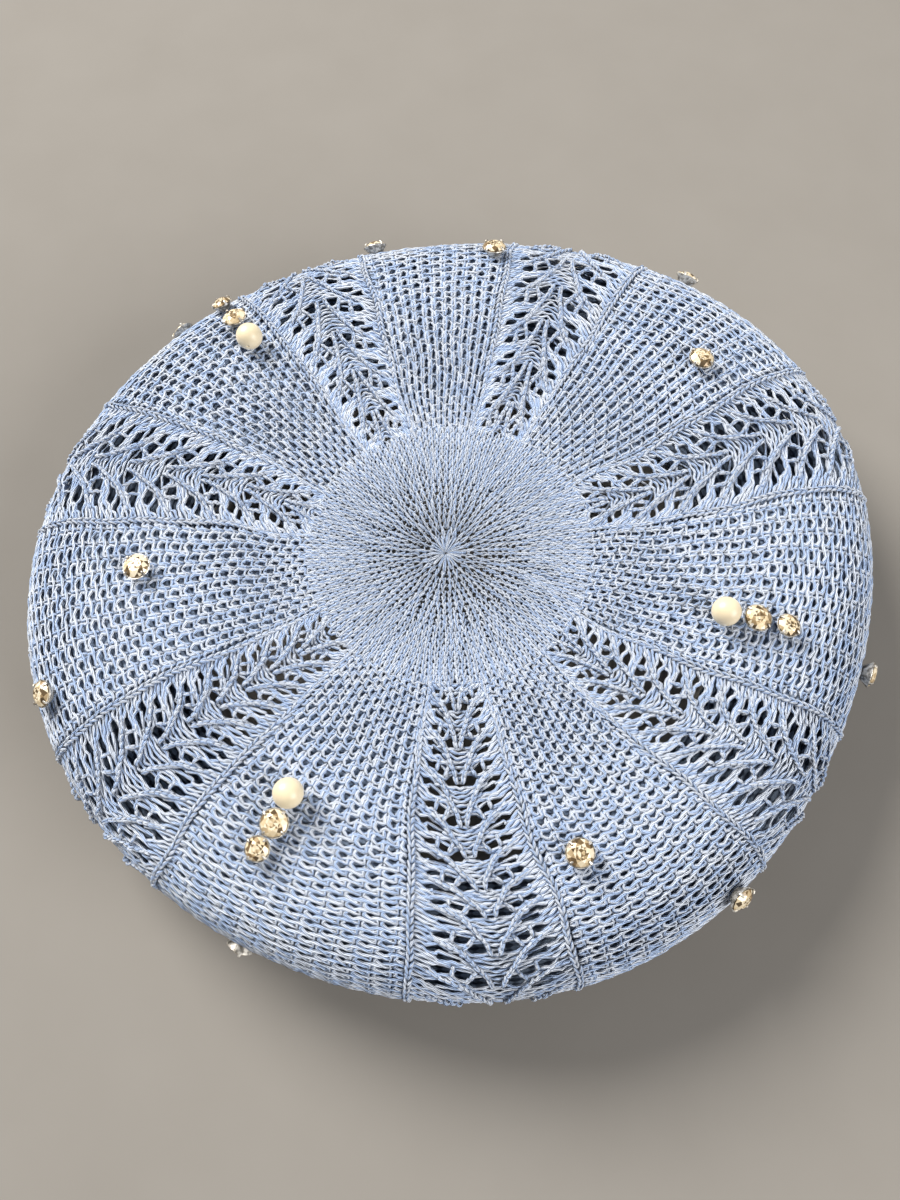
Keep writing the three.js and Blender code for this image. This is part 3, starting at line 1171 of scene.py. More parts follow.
@dataclass(frozen=True)
class FernChart:
    """One tier of the fern for one half, charted: across as a share, along in tiers."""

    # across, along, half width in degrees, half height in millimetres
    holes: tuple[Row, ...] = (
        (0.235, 0.0, 1.2, 2.2),
        (0.4, -0.28, 1.2, 2.05),
        (0.63, -0.39, 1.2, 1.2),
        (0.69, 0.03, 1.3, 1.1),
        (0.55, 0.25, 1.35, 1.5),
    )
    usual_tier: float = 16.0  # length of a tier at which the holes are that high; in shorter ones, lower
    # reach, how much higher the holes are there
    stretch: tuple[tuple[float, float], ...] = ((50.0, 0.85), (75.0, 1.0), (100.0, 1.15), (135.0, 1.35))
    round_hole: tuple[float, float] = (0.42, 0.58)  # mm from a hole's sides and ends to the strand round it
    squareness: int = 3  # power of a hole's outline, 2 for an ellipse
    bend: int = 4  # how closely the strands follow a hole
    bent: float = 3.0  # up to how many hole sizes from its middle they do
    # across, along, from the edge to the spine
    arm: tuple[tuple[float, float], ...] = (
        (0.8, -0.34),
        (0.7, -0.23),
        (0.56, -0.09),
        (0.42, 0.06),
        (0.33, 0.22),
        (0.235, 0.48),
        (0.14, 0.74),
        (0.07, 0.93),
        (0.05, 1.2),
    )
    arm_points: int = 48
    arm_soften: int = 3  # points on both sides that its line is averaged with
    arm_shortest: int = 8  # points of the shortest arm at the panel's ends
    # short bars between the holes: across and along of the upper end, then of the lower end
    bars: tuple[Row, ...] = ((0.24, -0.34, 0.39, 0.04), (0.5, -0.52, 0.53, -0.14))
    bar_points: int = 12

    def height(self, reach: float, pitch: float) -> float:
        """How high the holes are at a reach, against the chart, where a tier is so long."""
        return min(1.0, pitch / self.usual_tier) * float(np.interp(reach, *zip(*self.stretch)))


@dataclass(frozen=True)
class Strands:
    """How the strands run across a lace panel, in millimetres."""

    way: float = 1.3  # between one strand and the next at the edges
    most: int = 11  # in one tier
    points: int = 52
    vee: float = 0.74  # how much lower a strand is at the spine than at the edges, in tiers
    vee_level: float = 0.55  # share across where it is at its own tier
    vee_round: float = 0.02  # how round its vee is
    wobble: Wobble = Wobble(0.22)
    wobble_way: float = 15.0  # across for one radian of the drift
    loose: float = 0.12
    loose_count: float = 6.0  # stitches of its unevenness in half the panel
    weave: float = 0.28  # how far it passes in front of and behind its neighbours
    weaves: float = 8.0  # passes in half the panel
    spine_half: float = 0.55  # half the yarn's width at the spine
    edge_half: float = 0.48  # half its width at the edges, as a share of the way between two strands
    spine_share: float = 1 / 3  # share across within which it changes
    flat: float = 0.62  # the yarn's thickness against its width
    thickest: float = 0.4  # half of it

    def count(self, pitch: float) -> int:
        """Strands in a tier of a length."""
        return min(round(pitch / self.way), self.most)


@dataclass(frozen=True)
class ChainGauge:
    """A wale of knit vees that stands out of a lace panel, in millimetres."""

    half_wide: float
    pitch: float  # length of one vee
    lift: float  # of its legs above the strands
    ease: float  # vees that it takes to grow to its full width and lift
    least: float = 0.4  # share of them that it starts with
    points: int = 5  # of one leg
    overlap: float = 1.25  # length of a leg, in vees
    narrow: float = 0.1  # how far apart the legs are at the vee's point, as a share
    low: float = 0.3  # how high the legs' ends are, as a share of the lift
    arch: float = 0.7  # power of the legs' arch, lower is fuller
    loose: float = 0.16  # unevenness as a share
    half_yarn: tuple[float, float] = (0.4, 0.1)  # half the width at a leg's ends, and its gain between
    half_thick: float = 0.36


@dataclass
class LacePanel(KnitPiece):
    """A fern lace panel: strands that open round holes, arms to a spine, and a chain on each edge."""

    line: LaceLine
    first: float = 44.4
    last: float = 152.0
    seat: float = -1.05
    chart: FernChart = FernChart()
    across: Strands = Strands()
    arm_chain: ChainGauge = ChainGauge(0.42, 1.9, 1.3, 4)
    bar_chain: ChainGauge = ChainGauge(0.32, 1.7, 1.0, 2)
    edge_chain: ChainGauge = ChainGauge(0.9, 2.3, 1.05, 18)
    edge_share: float = 1.01  # where the edge chain runs, as a share across
    edge_run: tuple[float, float] = (2.0, 9.0)  # how far it goes on past the panel's first and last reach
    edge_points: int = 120
    edge_sway: Wobble = Wobble(0.45)
    hole_start: float = 1.5  # from the panel's first reach to its first holes
    plain_end: float = 8.0  # from its last holes to its last reach

    def half(self, reach: Array | float) -> Array:
        """Half the panel's width in millimetres, to the crest of its edge chain."""
        return math.radians(self.line.half_turn) * self.form.radius(reach)

    def lay(self, yarn: YarnMesh, x: Array, reach: Array, lift: Any, width: Any, thick: Any) -> None:
        """Lays runs of yarn.

        Args:
            yarn: The mesh that they join.
            x: Their ways across from the spine.
            reach: Their reaches.
            lift: Their ways outward.
            width: Half the yarn's width.
            thick: Half its thickness.
        """
        angle = self.line.angle(x / self.half(reach), reach)
        path, normal = self.form.place(angle, reach, np.broadcast_to(lift, x.shape))
        yarn.lay(path, normal, width, thick)

    def holes(self) -> list[Row]:
        """Every hole of the panel.

        Returns:
            Its middle, and its half sizes between the strands' middles, in millimetres.
        """
        found = []
        for tier in self.line.numbers:
            for across, along, wide, tall in self.chart.holes:
                middle = float(self.line.tier_way(tier + along))
                if not self.first + self.hole_start < middle < self.last - self.plain_end:
                    continue
                x = across * float(self.half(middle))
                beside, beyond = self.chart.round_hole
                half_wide = math.radians(wide) * float(self.form.radius(middle)) + beside
                half_tall = tall * self.chart.height(middle, self.line.pitch(middle)) + beyond
                found.extend((side * x, middle, half_wide, half_tall) for side in SIDES)
        return found

    def open_holes(self, x: Array, reach: Array) -> tuple[Array, Array]:
        """Moves strands aside so that they pass round the holes.

        Args:
            x: The strands' ways across from the spine.
            reach: Their reaches.

        Returns:
            Both after the move.
        """
        power = self.chart.squareness
        bend = self.chart.bend
        for middle_x, middle, wide, tall in self.holes():
            u = (x - middle_x) / wide
            v = (reach - middle) / tall
            far = np.maximum((np.abs(u) ** power + np.abs(v) ** power) ** (1 / power), 0.05)
            push = (far**bend + 1) ** (1 / bend) / far
            near = far < self.chart.bent
            x = np.where(near, middle_x + u * push * wide, x)
            reach = np.where(near, middle + v * push * tall, reach)
        return x, reach

    def strands(self, yarn: YarnMesh) -> None:
        """Lays the strands that run across the panel in a vee.

        Args:
            yarn: The mesh that they join.
        """
        run = self.across
        pitch = float(np.mean(np.diff(self.line.tiers)))
        count = run.count(pitch)
        tier = -2 + np.arange(count * (len(self.line.tiers) + 3))[:, None] / count
        across = np.linspace(-1.0, 1.0, run.points)[None, :]
        reach = self.line.tier_way(tier + run.vee * (run.vee_level - np.sqrt(across**2 + run.vee_round)))
        kept = (reach.max(axis=1) > self.first + 1) & (reach.min(axis=1) < self.last)
        reach = np.clip(reach[kept], self.first, self.last + 3)
        across = across + 0 * reach
        x, reach = self.open_holes(across * self.half(reach), reach)
        number = np.arange(len(reach))[:, None]
        drift = run.wobble.at(x / run.wobble_way + tier[kept], reach, Drift.STRAND)
        draw = np.random.default_rng(SEED + len(reach))
        drift = drift + uneven(draw, len(reach), across[0] * run.loose_count, run.loose)
        weave = run.weave * np.cos(math.pi * (number + across * run.weaves))
        gain = run.edge_half * pitch / count - run.spine_half
        width = run.spine_half + gain * np.clip(np.abs(across) / run.spine_share, 0, 1)
        thick = np.minimum(run.flat * width, run.thickest)
        self.lay(yarn, x, reach + drift, self.seat + weave, width, thick)

    def chain(self, yarn: YarnMesh, x: Array, reach: Array, gauge: ChainGauge) -> None:
        """Lays a wale of knit vees along a line, their points towards the rim.

        Args:
            yarn: The mesh that it joins.
            x: The line's way across from the spine, from the crown to the rim.
            reach: Its reach.
            gauge: The wale's sizes.
        """
        way = np.concatenate([[0], np.cumsum(np.hypot(np.diff(x), np.diff(reach)))])
        vees = max(1, int(way[-1] / gauge.pitch))
        number = np.arange(vees)[:, None]
        part = np.linspace(0, 1, gauge.points)
        arch = np.sin(math.pi * part)
        along = np.clip((number + 1.0 - gauge.overlap * part) * gauge.pitch, 0, way[-1])
        lines = (x, reach, np.gradient(x, way), np.gradient(reach, way))
        line_x, line_v, slope_x, slope_v = (np.interp(along, way, values) for values in lines)
        grow = np.clip((number + 1) / gauge.ease, gauge.least, 1)
        width = gauge.half_yarn[0] + gauge.half_yarn[1] * arch
        draw = np.random.default_rng(SEED + vees)
        for side in SIDES:
            loose = 1 + draw.normal(0, gauge.loose, (2, vees, 1))
            off = side * gauge.half_wide * grow * (gauge.narrow + (1 - gauge.narrow) * part) * loose[0]
            rise = gauge.lift * grow * (gauge.low + (1 - gauge.low) * arch**gauge.arch) * loose[1]
            leg_x = line_x + off * slope_v
            leg_v = line_v - off * slope_x
            self.lay(yarn, leg_x, leg_v, self.seat + rise, width, gauge.half_thick)

    def arms(self, yarn: YarnMesh) -> None:
        """Lays the arms of the fern.

        Args:
            yarn: The mesh that they join.
        """
        chart = np.array(self.chart.arm)
        across = np.linspace(chart[0, 0], chart[-1, 0], self.chart.arm_points)
        along = np.interp(-across, -chart[:, 0], chart[:, 1])
        along = smoothed(along, self.chart.arm_soften, mode="reflect", reflect_type="odd")
        for tier in self.line.numbers:
            way = self.line.tier_way(tier + along)
            kept = (way > self.first - 0.5) & (way < self.last - 1)
            if kept.sum() < self.chart.arm_shortest:
                continue
            for side in SIDES:
                x = side * across[kept] * self.half(way[kept])
                self.chain(yarn, x, way[kept], self.arm_chain)

    def bars(self, yarn: YarnMesh) -> None:
        """Lays the short bars that part the holes of a tier.

        Args:
            yarn: The mesh that they join.
        """
        share = np.linspace(0, 1, self.chart.bar_points)
        for tier in self.line.numbers:
            for top_across, top, low_across, low in self.chart.bars:
                way = self.line.tier_way(tier + top + (low - top) * share)
                if way[0] < self.first or way[-1] > self.last - self.plain_end:
                    continue
                across = top_across + (low_across - top_across) * share
                for side in SIDES:
                    self.chain(yarn, side * across * self.half(way), way, self.bar_chain)

    def edges(self, yarn: YarnMesh) -> None:
        """Lays the raised chain on each edge.

        Args:
            yarn: The mesh that they join.
        """
        reach = np.linspace(self.first - self.edge_run[0], self.last + self.edge_run[1], self.edge_points)
        for side in SIDES:
            sway = self.edge_sway.at(self.line.angle(side + 0 * reach, reach), reach, Drift.EDGE)
            self.chain(yarn, side * self.edge_share * self.half(reach) + sway, reach, self.edge_chain)

    def knit(self, yarn: YarnMesh) -> None:
        """Knits from the disc to the rim: strands, arms, bars and edges."""
        for lay in (self.strands, self.arms, self.bars, self.edges):
            lay(yarn)


@dataclass
class Underside(KnitPiece):
    """Plain knit below the rim, all the way round, to the head opening."""

    spines: tuple[float, ...]  # of the lace panels, in degrees
    half_turn: float = 11.4  # of the knit below a lace panel
    first: float = 152.0  # reach where a lace panel ends
    join: float = 165.5  # reach where the knit is one all the way round
    row: float = 3.0
    wales: int = 144
    depth: float = 0.42
    seat: float = -0.95
    loop: KnitLoop = KnitLoop(samples=6)
    half_yarn: tuple[float, float] = (0.66, 0.42)  # half its width and thickness

    def rows(self, yarn: YarnMesh, start: float, end: float, first: float, last: float) -> None:
        """Lays rows, closed ones where they go all the way round.

        Args:
            yarn: The mesh that they join.
            start: The angle that they start from, in degrees.
            end: The angle that they end at.
            first: The reach above the first row.
            last: The reach below the last row.
        """
        closed = end - start == 360
        wales = round((end - start) / 360 * self.wales)
        count = max(1, round((last - first) / self.row))
        reach = first + (last - first) * (np.arange(count) + 0.5) / count
        along, up, out = self.loop.row(wales, closed, np.arange(count) % 2)
        angle = np.radians(start + (end - start) * along / wales) + 0 * reach[:, None]
        way = np.minimum(reach[:, None] + up * self.row, self.form.full_reach)
        path, normal = self.form.place(angle, way, self.seat + self.depth * out + 0 * angle)
        yarn.lay(path, normal, *self.half_yarn, closed=closed)

    def knit(self, yarn: YarnMesh) -> None:
        """Knits below the lace panels, then all the way round.

        Args:
            yarn: The mesh that the runs join.
        """
        for spine in self.spines:
            self.rows(yarn, spine - self.half_turn, spine + self.half_turn, self.first, self.join)
        self.rows(yarn, 0, 360, self.join, self.form.full_reach)


@dataclass
class KnitBack(Piece):
    """The back of the plain knit: a thin wall behind its stitches, which leaves the lace panels open; its
    material paints the shade behind the stitches, so that their holes read dark.
    """

    form: BeretForm
    depth: float = 1.9
    wall: float = 0.3
    middle: float = 24.0  # reach up to which the stitches are open
    disc: float = 45.0  # reach where the disc ends
    below: float = 153.0  # reach where the knit is plain all the way round
    wales: int = 144
    row: float = 2.2
    panel_steps: int = 24  # across a plain panel
    step: float = 3.0  # along
    fewest: int = 4  # steps along

    def build(self, lace: tuple[LaceLine, ...], material: bpy.types.Material) -> bpy.types.Object:
        """Makes the wall.

        Args:
            lace: The lace panels that it leaves open.
            material: Its material.

        Returns:
            The finished object.
        """
        bm = bmesh.new()
        bm.loops.layers.uv.new("Stitch")
        count = len(lace)
        for number, line in enumerate(lace):
            after = lace[(number + 1) % count]
            turn = TURN * ((number + 1) // count)
            self._sheet(bm, (line, after), turn, self.disc, self.below)
        self._sheet(bm, None, TURN, self.middle, self.disc)
        self._sheet(bm, None, TURN, self.below, self.form.full_reach)
        bmesh.ops.remove_doubles(bm, verts=bm.verts[:], dist=MERGE)
        bmesh.ops.recalc_face_normals(bm, faces=bm.faces[:])
        bmesh.ops.solidify(bm, geom=bm.faces[:], thickness=self.wall * MM)
        return self.settle(finished(self.name, bm, Matrix.Identity(4), material, True))

    def _sheet(
        self,
        bm: bmesh.types.BMesh,
        between: tuple[LaceLine, LaceLine] | None,
        turn: float,
        first: float,
        last: float,
    ) -> None:
        """Adds one sheet of the wall.

        Args:
            bm: The shape that it joins.
            between: The lace panels that it lies between, or none where it goes all the way round.
            turn: What is added to the angle of its end, in radians.
            first: The reach of its upper edge.
            last: The reach of its lower edge.
        """
        across = self.panel_steps if between else self.wales
        along = max(self.fewest, round((last - first) / self.step))
        made = bmesh.ops.create_grid(bm, x_segments=across, y_segments=along, size=0.5)
        share = np.array([v.co.xy for v in made["verts"]]) + 0.5
        reach = first + (last - first) * share[:, 1]
        start = end = 0 * reach
        if between:
            start = between[0].angle(np.full(1, 1.0), reach)
            end = between[1].angle(np.full(1, -1.0), reach)
        angle = start + (end + turn - start) * share[:, 0]
        points, _ = self.form.place(angle, reach, np.full(len(reach), -self.depth))
        stitches = np.stack([angle / TURN * self.wales, reach / self.row], axis=-1)
        chart = dict(zip(made["verts"], stitches))
        for vert, point in zip(made["verts"], points):
            vert.co = Vector(point) * MM
        layer = bm.loops.layers.uv["Stitch"]
        for face in {f for vert in made["verts"] for f in vert.link_faces}:
            for loop in face.loops:
                loop[layer].uv = chart[loop.vert]


@dataclass
class HeadBand(KnitPiece):
    """The ribbed band round the head opening, two stitches out and two in."""

    wall: float = 3.0
    wales: int = 144
    rows: int = 4
    lowest: float = 2.75
    row: float = 2.3
    rib: float = 0.62  # how far a rib stands out
    rib_wales: int = 4  # stitches from one rib to the next
    rib_edge: float = 2.5  # how steep a rib's sides are
    depth: float = 0.42
    loop: KnitLoop = KnitLoop(waist=0.04, swing=0.0)
    half_yarn: tuple[float, float] = (0.6, 0.44)  # half its width and thickness

    def knit(self, yarn: YarnMesh) -> None:
        """Knits the band's rows, lowest first.

        Args:
            yarn: The mesh that the runs join.
        """
        along, up, out = self.loop.row(self.wales, True, np.zeros(self.rows))
        angle = along / self.wales * TURN + np.zeros((self.rows, 1))
        height = self.lowest + self.row * np.arange(self.rows)[:, None] - up * self.row
        rib = self.rib * np.tanh(self.rib_edge * np.sin(along / self.rib_wales * TURN))
        lift = rib + self.depth * out
        share = self.form.opening_share + (self.wall / 2 + lift + 0 * angle) / self.form.rim_radius
        path = self.form.plan(angle, share, height)
        normal = np.stack([np.cos(angle), np.sin(angle), 0 * angle], axis=-1)
        yarn.lay(path, normal, *self.half_yarn, closed=True)


@dataclass(frozen=True)
class Seat:
    """Where an ornament is sewn on: an angle in degrees and a reach in millimetres."""

    angle: float
    reach: float

    def frame(self, form: BeretForm, node: bpy.types.Object) -> Matrix:
        """The ornament's own frame, its foot level with the lowest point of its CAD node.

        Args:
            form: The beret's outer face.
            node: The CAD node.

        Returns:
            The frame in metres.
        """
        angle = np.array(math.radians(self.angle))
        reach = np.array(self.reach)
        normal = Vector(form.normal(angle, reach))
        point = Vector(form.point(angle, reach)) * MM
        lift = min((v.co - point).dot(normal) for v in node.data.vertices)
        turn = Vector((0, 0, 1)).rotation_difference(normal)
        return Matrix.Translation(point + normal * lift) @ turn.to_matrix().to_4x4()


@dataclass
class SewnPiece(Piece):
    """An ornament, shaped in its own frame with its foot at the origin and its axis upward."""

    smooth = False  # whether its faces are shaded smooth

    def shape(self, bm: bmesh.types.BMesh) -> None:
        """Makes the ornament's shape, in each kind's own way."""
        raise NotImplementedError

    def build(self, frame: Matrix, material: bpy.types.Material) -> bpy.types.Object:
        """Makes the ornament on its frame.

        Args:
            frame: Where it sits.
            material: Its material.

        Returns:
            The finished object.
        """
        bm = bmesh.new()
        self.shape(bm)
        return self.settle(finished(self.name, bm, frame, material, self.smooth))


@dataclass
class Pearl(SewnPiece):
    """A round bead, drilled through from side to side for its thread."""

    radius: float = 4.5
    bore: float = 0.5
    drilled: float = 1.6  # depth that shows
    segments: tuple[int, int] = (40, 24)  # round and along
    smooth = True

    def shape(self, bm: bmesh.types.BMesh) -> None:
        """Makes a ball with a flat hole at both poles, and lays it on its side.

        Args:
            bm: The shape.
        """
        round_count, along = self.segments
        bmesh.ops.create_uvsphere(bm, u_segments=round_count, v_segments=along, radius=self.radius * MM)
        flat = math.sqrt(self.radius**2 - self.bore**2) * MM
        for way in SIDES:
            end = cut_off(bm, Vector((0, 0, way * flat)), Vector((0, 0, way)))
            hole = bmesh.ops.extrude_discrete_faces(bm, faces=[end])["faces"][0]
            bmesh.ops.translate(bm, verts=hole.verts[:], vec=(0, 0, -way * self.drilled * MM))
        bmesh.ops.rotate(bm, verts=bm.verts[:], matrix=Matrix.Rotation(math.pi / 2, 3, "X"))
        bmesh.ops.translate(bm, verts=bm.verts[:], vec=(0, 0, self.radius * MM))
        bmesh.ops.recalc_face_normals(bm, faces=bm.faces[:])


@dataclass(frozen=True)
class StoneCut:
    """A chaton's cut, in shares of its radius, and how its setting is made, in millimetres."""

    radius: float = 3.65
    crown: float = 0.3
    girdle: float = 0.06
    pavilion: float = 0.6
    gap: float = 0.3  # between the stone and its setting's floor
    floor: float = 0.5
    foot: float = 0.62  # the setting's foot, as a share of the radius

    @property
    def girdle_height(self) -> float:
        """Height of the girdle's upper edge above the setting's foot."""
        return self.floor + self.gap + (self.pavilion + self.girdle) * self.radius


@dataclass
class Chaton(SewnPiece):
    """A brilliant-cut stone: table, star, main and girdle facets, and a pavilion below."""

    cut: StoneCut
    seed: int
    sides: int = 16
    overhang: float = 0.3  # what its radius is more than its CAD node's
    # facets round, degrees from level, shares of the radius and of the crown's height that the planes pass,
    # and how far the first is turned, in facets
    crown: tuple[Row, ...] = (
        (16, 40.0, 0.98, 0.0, 0.5),
        (8, 34.0, 1.0, 0.0, 0.0),
        (8, 22.0, 0.75, 0.69, 0.5),
    )
    inner: float = 0.24  # ring of the table that shows the cut below it, as a share of the radius
    glint_contrast: float = 0.6  # of the facets' painted reflections, lower is stronger

    def shape(self, bm: bmesh.types.BMesh) -> None:
        """Cuts the stone from a drum, and gives each facet its own painted brightness, which stands in for
        what it reflects.

        Args:
            bm: The shape.
        """
        cut = self.cut
        radius = (cut.radius + self.overhang) * MM
        girdle = cut.girdle_height * MM
        rise = cut.crown * radius
        low = girdle - (cut.girdle + cut.pavilion) * cut.radius * MM
        tall = girdle + rise - low
        bmesh.ops.create_cone(
            bm, cap_ends=True, segments=self.sides, radius1=radius, radius2=radius, depth=tall
        )
        bmesh.ops.translate(bm, verts=bm.verts[:], vec=(0, 0, (girdle + rise + low) / 2))
        for count, slope, share, up, offset in self.crown:
            self._facets(bm, int(count), math.radians(slope), share * radius, girdle + up * rise, offset)
        under = girdle - cut.girdle * cut.radius * MM
        self._facets(bm, self.sides // 2, math.pi - math.atan2(under - low, radius), radius, under, 0)
        bmesh.ops.recalc_face_normals(bm, faces=bm.faces[:])
        table = max(bm.faces, key=lambda face: face.calc_center_median().z)
        inset = self.inner * radius
        ring = bmesh.ops.inset_individual(bm, faces=[table], thickness=inset, use_even_offset=True)
        bmesh.ops.poke(bm, faces=[table, *ring["faces"]])
        draw = np.random.default_rng(SEED + self.seed)
        # painted reflection: a random brightness for each facet
        layer = bm.faces.layers.float.new("facet")
        for face in bm.faces:
            face[layer] = float(draw.beta(self.glint_contrast, self.glint_contrast))

    def _facets(
        self, bm: bmesh.types.BMesh, count: int, slope: float, reach: float, height: float, offset: float
    ) -> None:
        """Cuts a ring of facets.

        Args:
            bm: The stone.
            count: Facets round it.
            slope: Their tilt from level, in radians.
            reach: How far from the axis each plane passes.
            height: At which height.
            offset: Where the first is, in facets.
        """
        for number in range(count):
            turn = Matrix.Rotation(TURN * (number + offset) / count, 3, "Z")
            normal = turn @ Vector((math.sin(slope), 0, math.cos(slope)))
            cut_off(bm, turn @ Vector((reach, 0, height)), normal)


@dataclass
class ClawSetting(SewnPiece):
    """A turned cup under the stone's girdle with four claws bent over the stone's crown."""

    cut: StoneCut
    # out from the stone's radius and up from its girdle, then for the claws the share of their full size
    lip: tuple[Row, ...] = ((0.75, -0.5), (0.65, -0.3), (0.35, -0.35), (0.25, -0.55))
    claw: tuple[Row, ...] = ((0.55, -0.7, 1.0), (0.68, 0.1, 1.0), (0.4, 0.62, 0.85), (-0.2, 0.95, 0.55))
    claws: int = 4
    claw_half: float = 0.5  # half its width
    claw_thick: float = 0.3  # half its thickness
    claw_lean: float = 0.4  # how much its cross-section rises outward
    claw_sides: int = 8
    steps: int = 32  # of the cup's turning

    def shape(self, bm: bmesh.types.BMesh) -> None:
        """Turns the cup, then adds the claws.

        Args:
            bm: The shape.
        """
        cut = self.cut
        lip = [(cut.radius + out, cut.girdle_height + up) for out, up in self.lip]
        section = [(0.0, 0.0), (cut.foot * cut.radius, 0.0), *lip, (0.0, cut.floor)]
        corner = [bm.verts.new((r * MM, 0, h * MM)) for r, h in section]
        line = [bm.edges.new(pair) for pair in zip(corner, corner[1:])]
        bmesh.ops.spin(
            bm,
            geom=[*corner, *line],
            cent=(0, 0, 0),
            axis=(0, 0, 1),
            angle=TURN,
            steps=self.steps,
            use_merge=True,
        )
        bmesh.ops.remove_doubles(bm, verts=bm.verts[:], dist=MERGE)
        for number in range(self.claws):
            self._add_claw(bm, TURN * (number + 0.5) / self.claws)
        bmesh.ops.recalc_face_normals(bm, faces=bm.faces[:])

    def _add_claw(self, bm: bmesh.types.BMesh, turn: float) -> None:
        """Adds one claw, a bar that rises from the cup's lip and bends over the girdle.

        Args:
            bm: The shape that it joins.
            turn: Where it stands round the cup, in radians.
        """
        out = Vector((math.cos(turn), math.sin(turn), 0))
        side = Vector((-math.sin(turn), math.cos(turn), 0))
        foot = bmesh.ops.create_circle(bm, cap_ends=True, segments=self.claw_sides, radius=1)["verts"]
        ends = [foot[0].link_faces[0]]
        for _ in self.claw[1:]:
            made = bmesh.ops.extrude_face_region(bm, geom=[ends[-1]])
            ends.append(next(f for f in made["geom"] if isinstance(f, bmesh.types.BMFace)))
        levels = [end.verts[:] for end in ends]
        bmesh.ops.delete(bm, geom=ends[1:-1], context="FACES_ONLY")
        for verts, (reach, up, share) in zip(levels, self.claw):
            for vert in verts:
                wide = vert.co.x * self.claw_half * share
                deep = vert.co.y * self.claw_thick * share
                height = Vector((0, 0, self.cut.girdle_height + up + self.claw_lean * deep))
                vert.co = (out * (self.cut.radius + reach + deep) + side * wide + height) * MM


@dataclass(frozen=True)
class Studio:
    """A pale floor, soft lamps and the photograph's camera, in metres."""

    floor: float = 3.0  # half its width
    eye: Row = (-0.00164, -0.13215, 0.34818)
    tilt: float = 68.65  # degrees below the horizon
    lens: float = 30.0  # mm
    sensor: float = 36.0  # mm
    nearest: float = 0.01
    # where it stands, its size, its power in watts, its colour
    lamps: tuple[tuple[Row, float, float, Row], ...] = (
        ((-1.75, 1.65, 2.0), 1.7, 187.0, (1.0, 0.97, 0.92)),
        ((1.9, -1.25, 1.35), 1.8, 75.0, (1.0, 0.98, 0.95)),
    )
    sky: Row = (0.93, 0.95, 1.0, 1)
    sky_strength: float = 0.22

    def build(self) -> None:
        """Sets the stage: floor, lamps and a faint sky."""
        bm = bmesh.new()
        bmesh.ops.create_grid(bm, x_segments=8, y_segments=8, size=self.floor)
        finished("floor", bm, Matrix.Identity(4), PaleFloor().material(), False)
        for number, (where, size, power, colour) in enumerate(self.lamps):
            lamp = bpy.data.lights.new(f"lamp_{number}", "AREA")
            lamp.shape = "DISK"
            lamp.size = size
            lamp.energy = power
            lamp.color = colour
            stand = bpy.data.objects.new(lamp.name, lamp)
            stand.location = where
            stand.rotation_euler = (-Vector(where)).to_track_quat("-Z", "Y").to_euler()
            bpy.context.scene.collection.objects.link(stand)
        world = bpy.data.worlds.new("studio")
        world.use_nodes = True
        background = world.node_tree.nodes["Background"]
        background.inputs["Color"].default_value = self.sky
        background.inputs["Strength"].default_value = self.sky_strength
        bpy.context.scene.world = world

    def camera(self) -> None:
        """Places the camera, with plain colours."""
        bpy.context.scene.view_settings.view_transform = "Standard"
        view = bpy.data.cameras.new("camera")
        view.lens = self.lens
        view.sensor_width = self.sensor
        view.sensor_fit = "AUTO"
        view.clip_start = self.nearest
        stand = bpy.data.objects.new("camera", view)
        stand.location = self.eye
        stand.rotation_euler = (math.radians(90 - self.tilt), 0, 0)
        bpy.context.scene.collection.objects.link(stand)
        bpy.context.scene.camera = stand


@dataclass(frozen=True)
class Ornaments:
    """The stones and pearls sewn on the plain panels, each where its CAD nodes are."""

    large: StoneCut = StoneCut()
    small: StoneCut = StoneCut(radius=3.1)
    # name of the stone, panel, angle in degrees, reach in millimetres
    stones: tuple[tuple[str, int, float, float], ...] = (
        ("single", 1, 38.8, 103.5),
        ("rim", 1, 53, 144),
        ("single", 2, 83.2, 122.3),
        ("rim", 2, 103.5, 143),
        ("trio_large", 3, 132, 117.5),
        ("trio_small", 3, 131.3, 131),
        ("rim", 3, 137, 150),
        ("single", 4, 185.5, 97),
        ("rim", 4, 200.8, 134),
        ("trio_large", 5, 239.9, 102.9),
        ("trio_small", 5, 239.6, 111.7),
        ("rim", 5, 241.5, 158),
        ("single", 6, 289.8, 103.5),
        ("rim", 6, 307.3, 143.5),
        ("trio_large", 7, 344, 97.6),
        ("trio_small", 7, 344.2, 107.4),
        ("rim", 7, 344, 149),
    )
    pearls: tuple[tuple[int, float, float], ...] = ((3, 133, 104), (5, 239.5, 93.4), (7, 343.2, 87.4))

    def build(self, form: BeretForm, nodes: dict[str, bpy.types.Object]) -> None:
        """Makes every ornament.

        Args:
            form: The beret's outer face.
            nodes: The frame's CAD nodes by name.
        """
        crystal = FoilCrystal().material()
        silver = ClawSilver().material()
        lustre = PearlLustre().material()
        for number, (kind, panel, angle, reach) in enumerate(self.stones):
            cut = self.small if kind == "trio_small" else self.large
            stone = f"{kind}_stone_{panel}"
            setting = f"{kind}_setting_{panel}"
            frame = Seat(angle, reach).frame(form, nodes[setting])
            Chaton(f"{stone}_cut", (stone,), Slot.CRYSTAL, cut, number).build(frame, crystal)
            ClawSetting(f"{setting}_claws", (setting,), Slot.SILVER, cut).build(frame, silver)
        for panel, angle, reach in self.pearls:
            node = f"trio_pearl_{panel}"
            frame = Seat(angle, reach).frame(form, nodes[node])
            Pearl(f"{node}_bead", (node,), Slot.PEARL).build(frame, lustre)


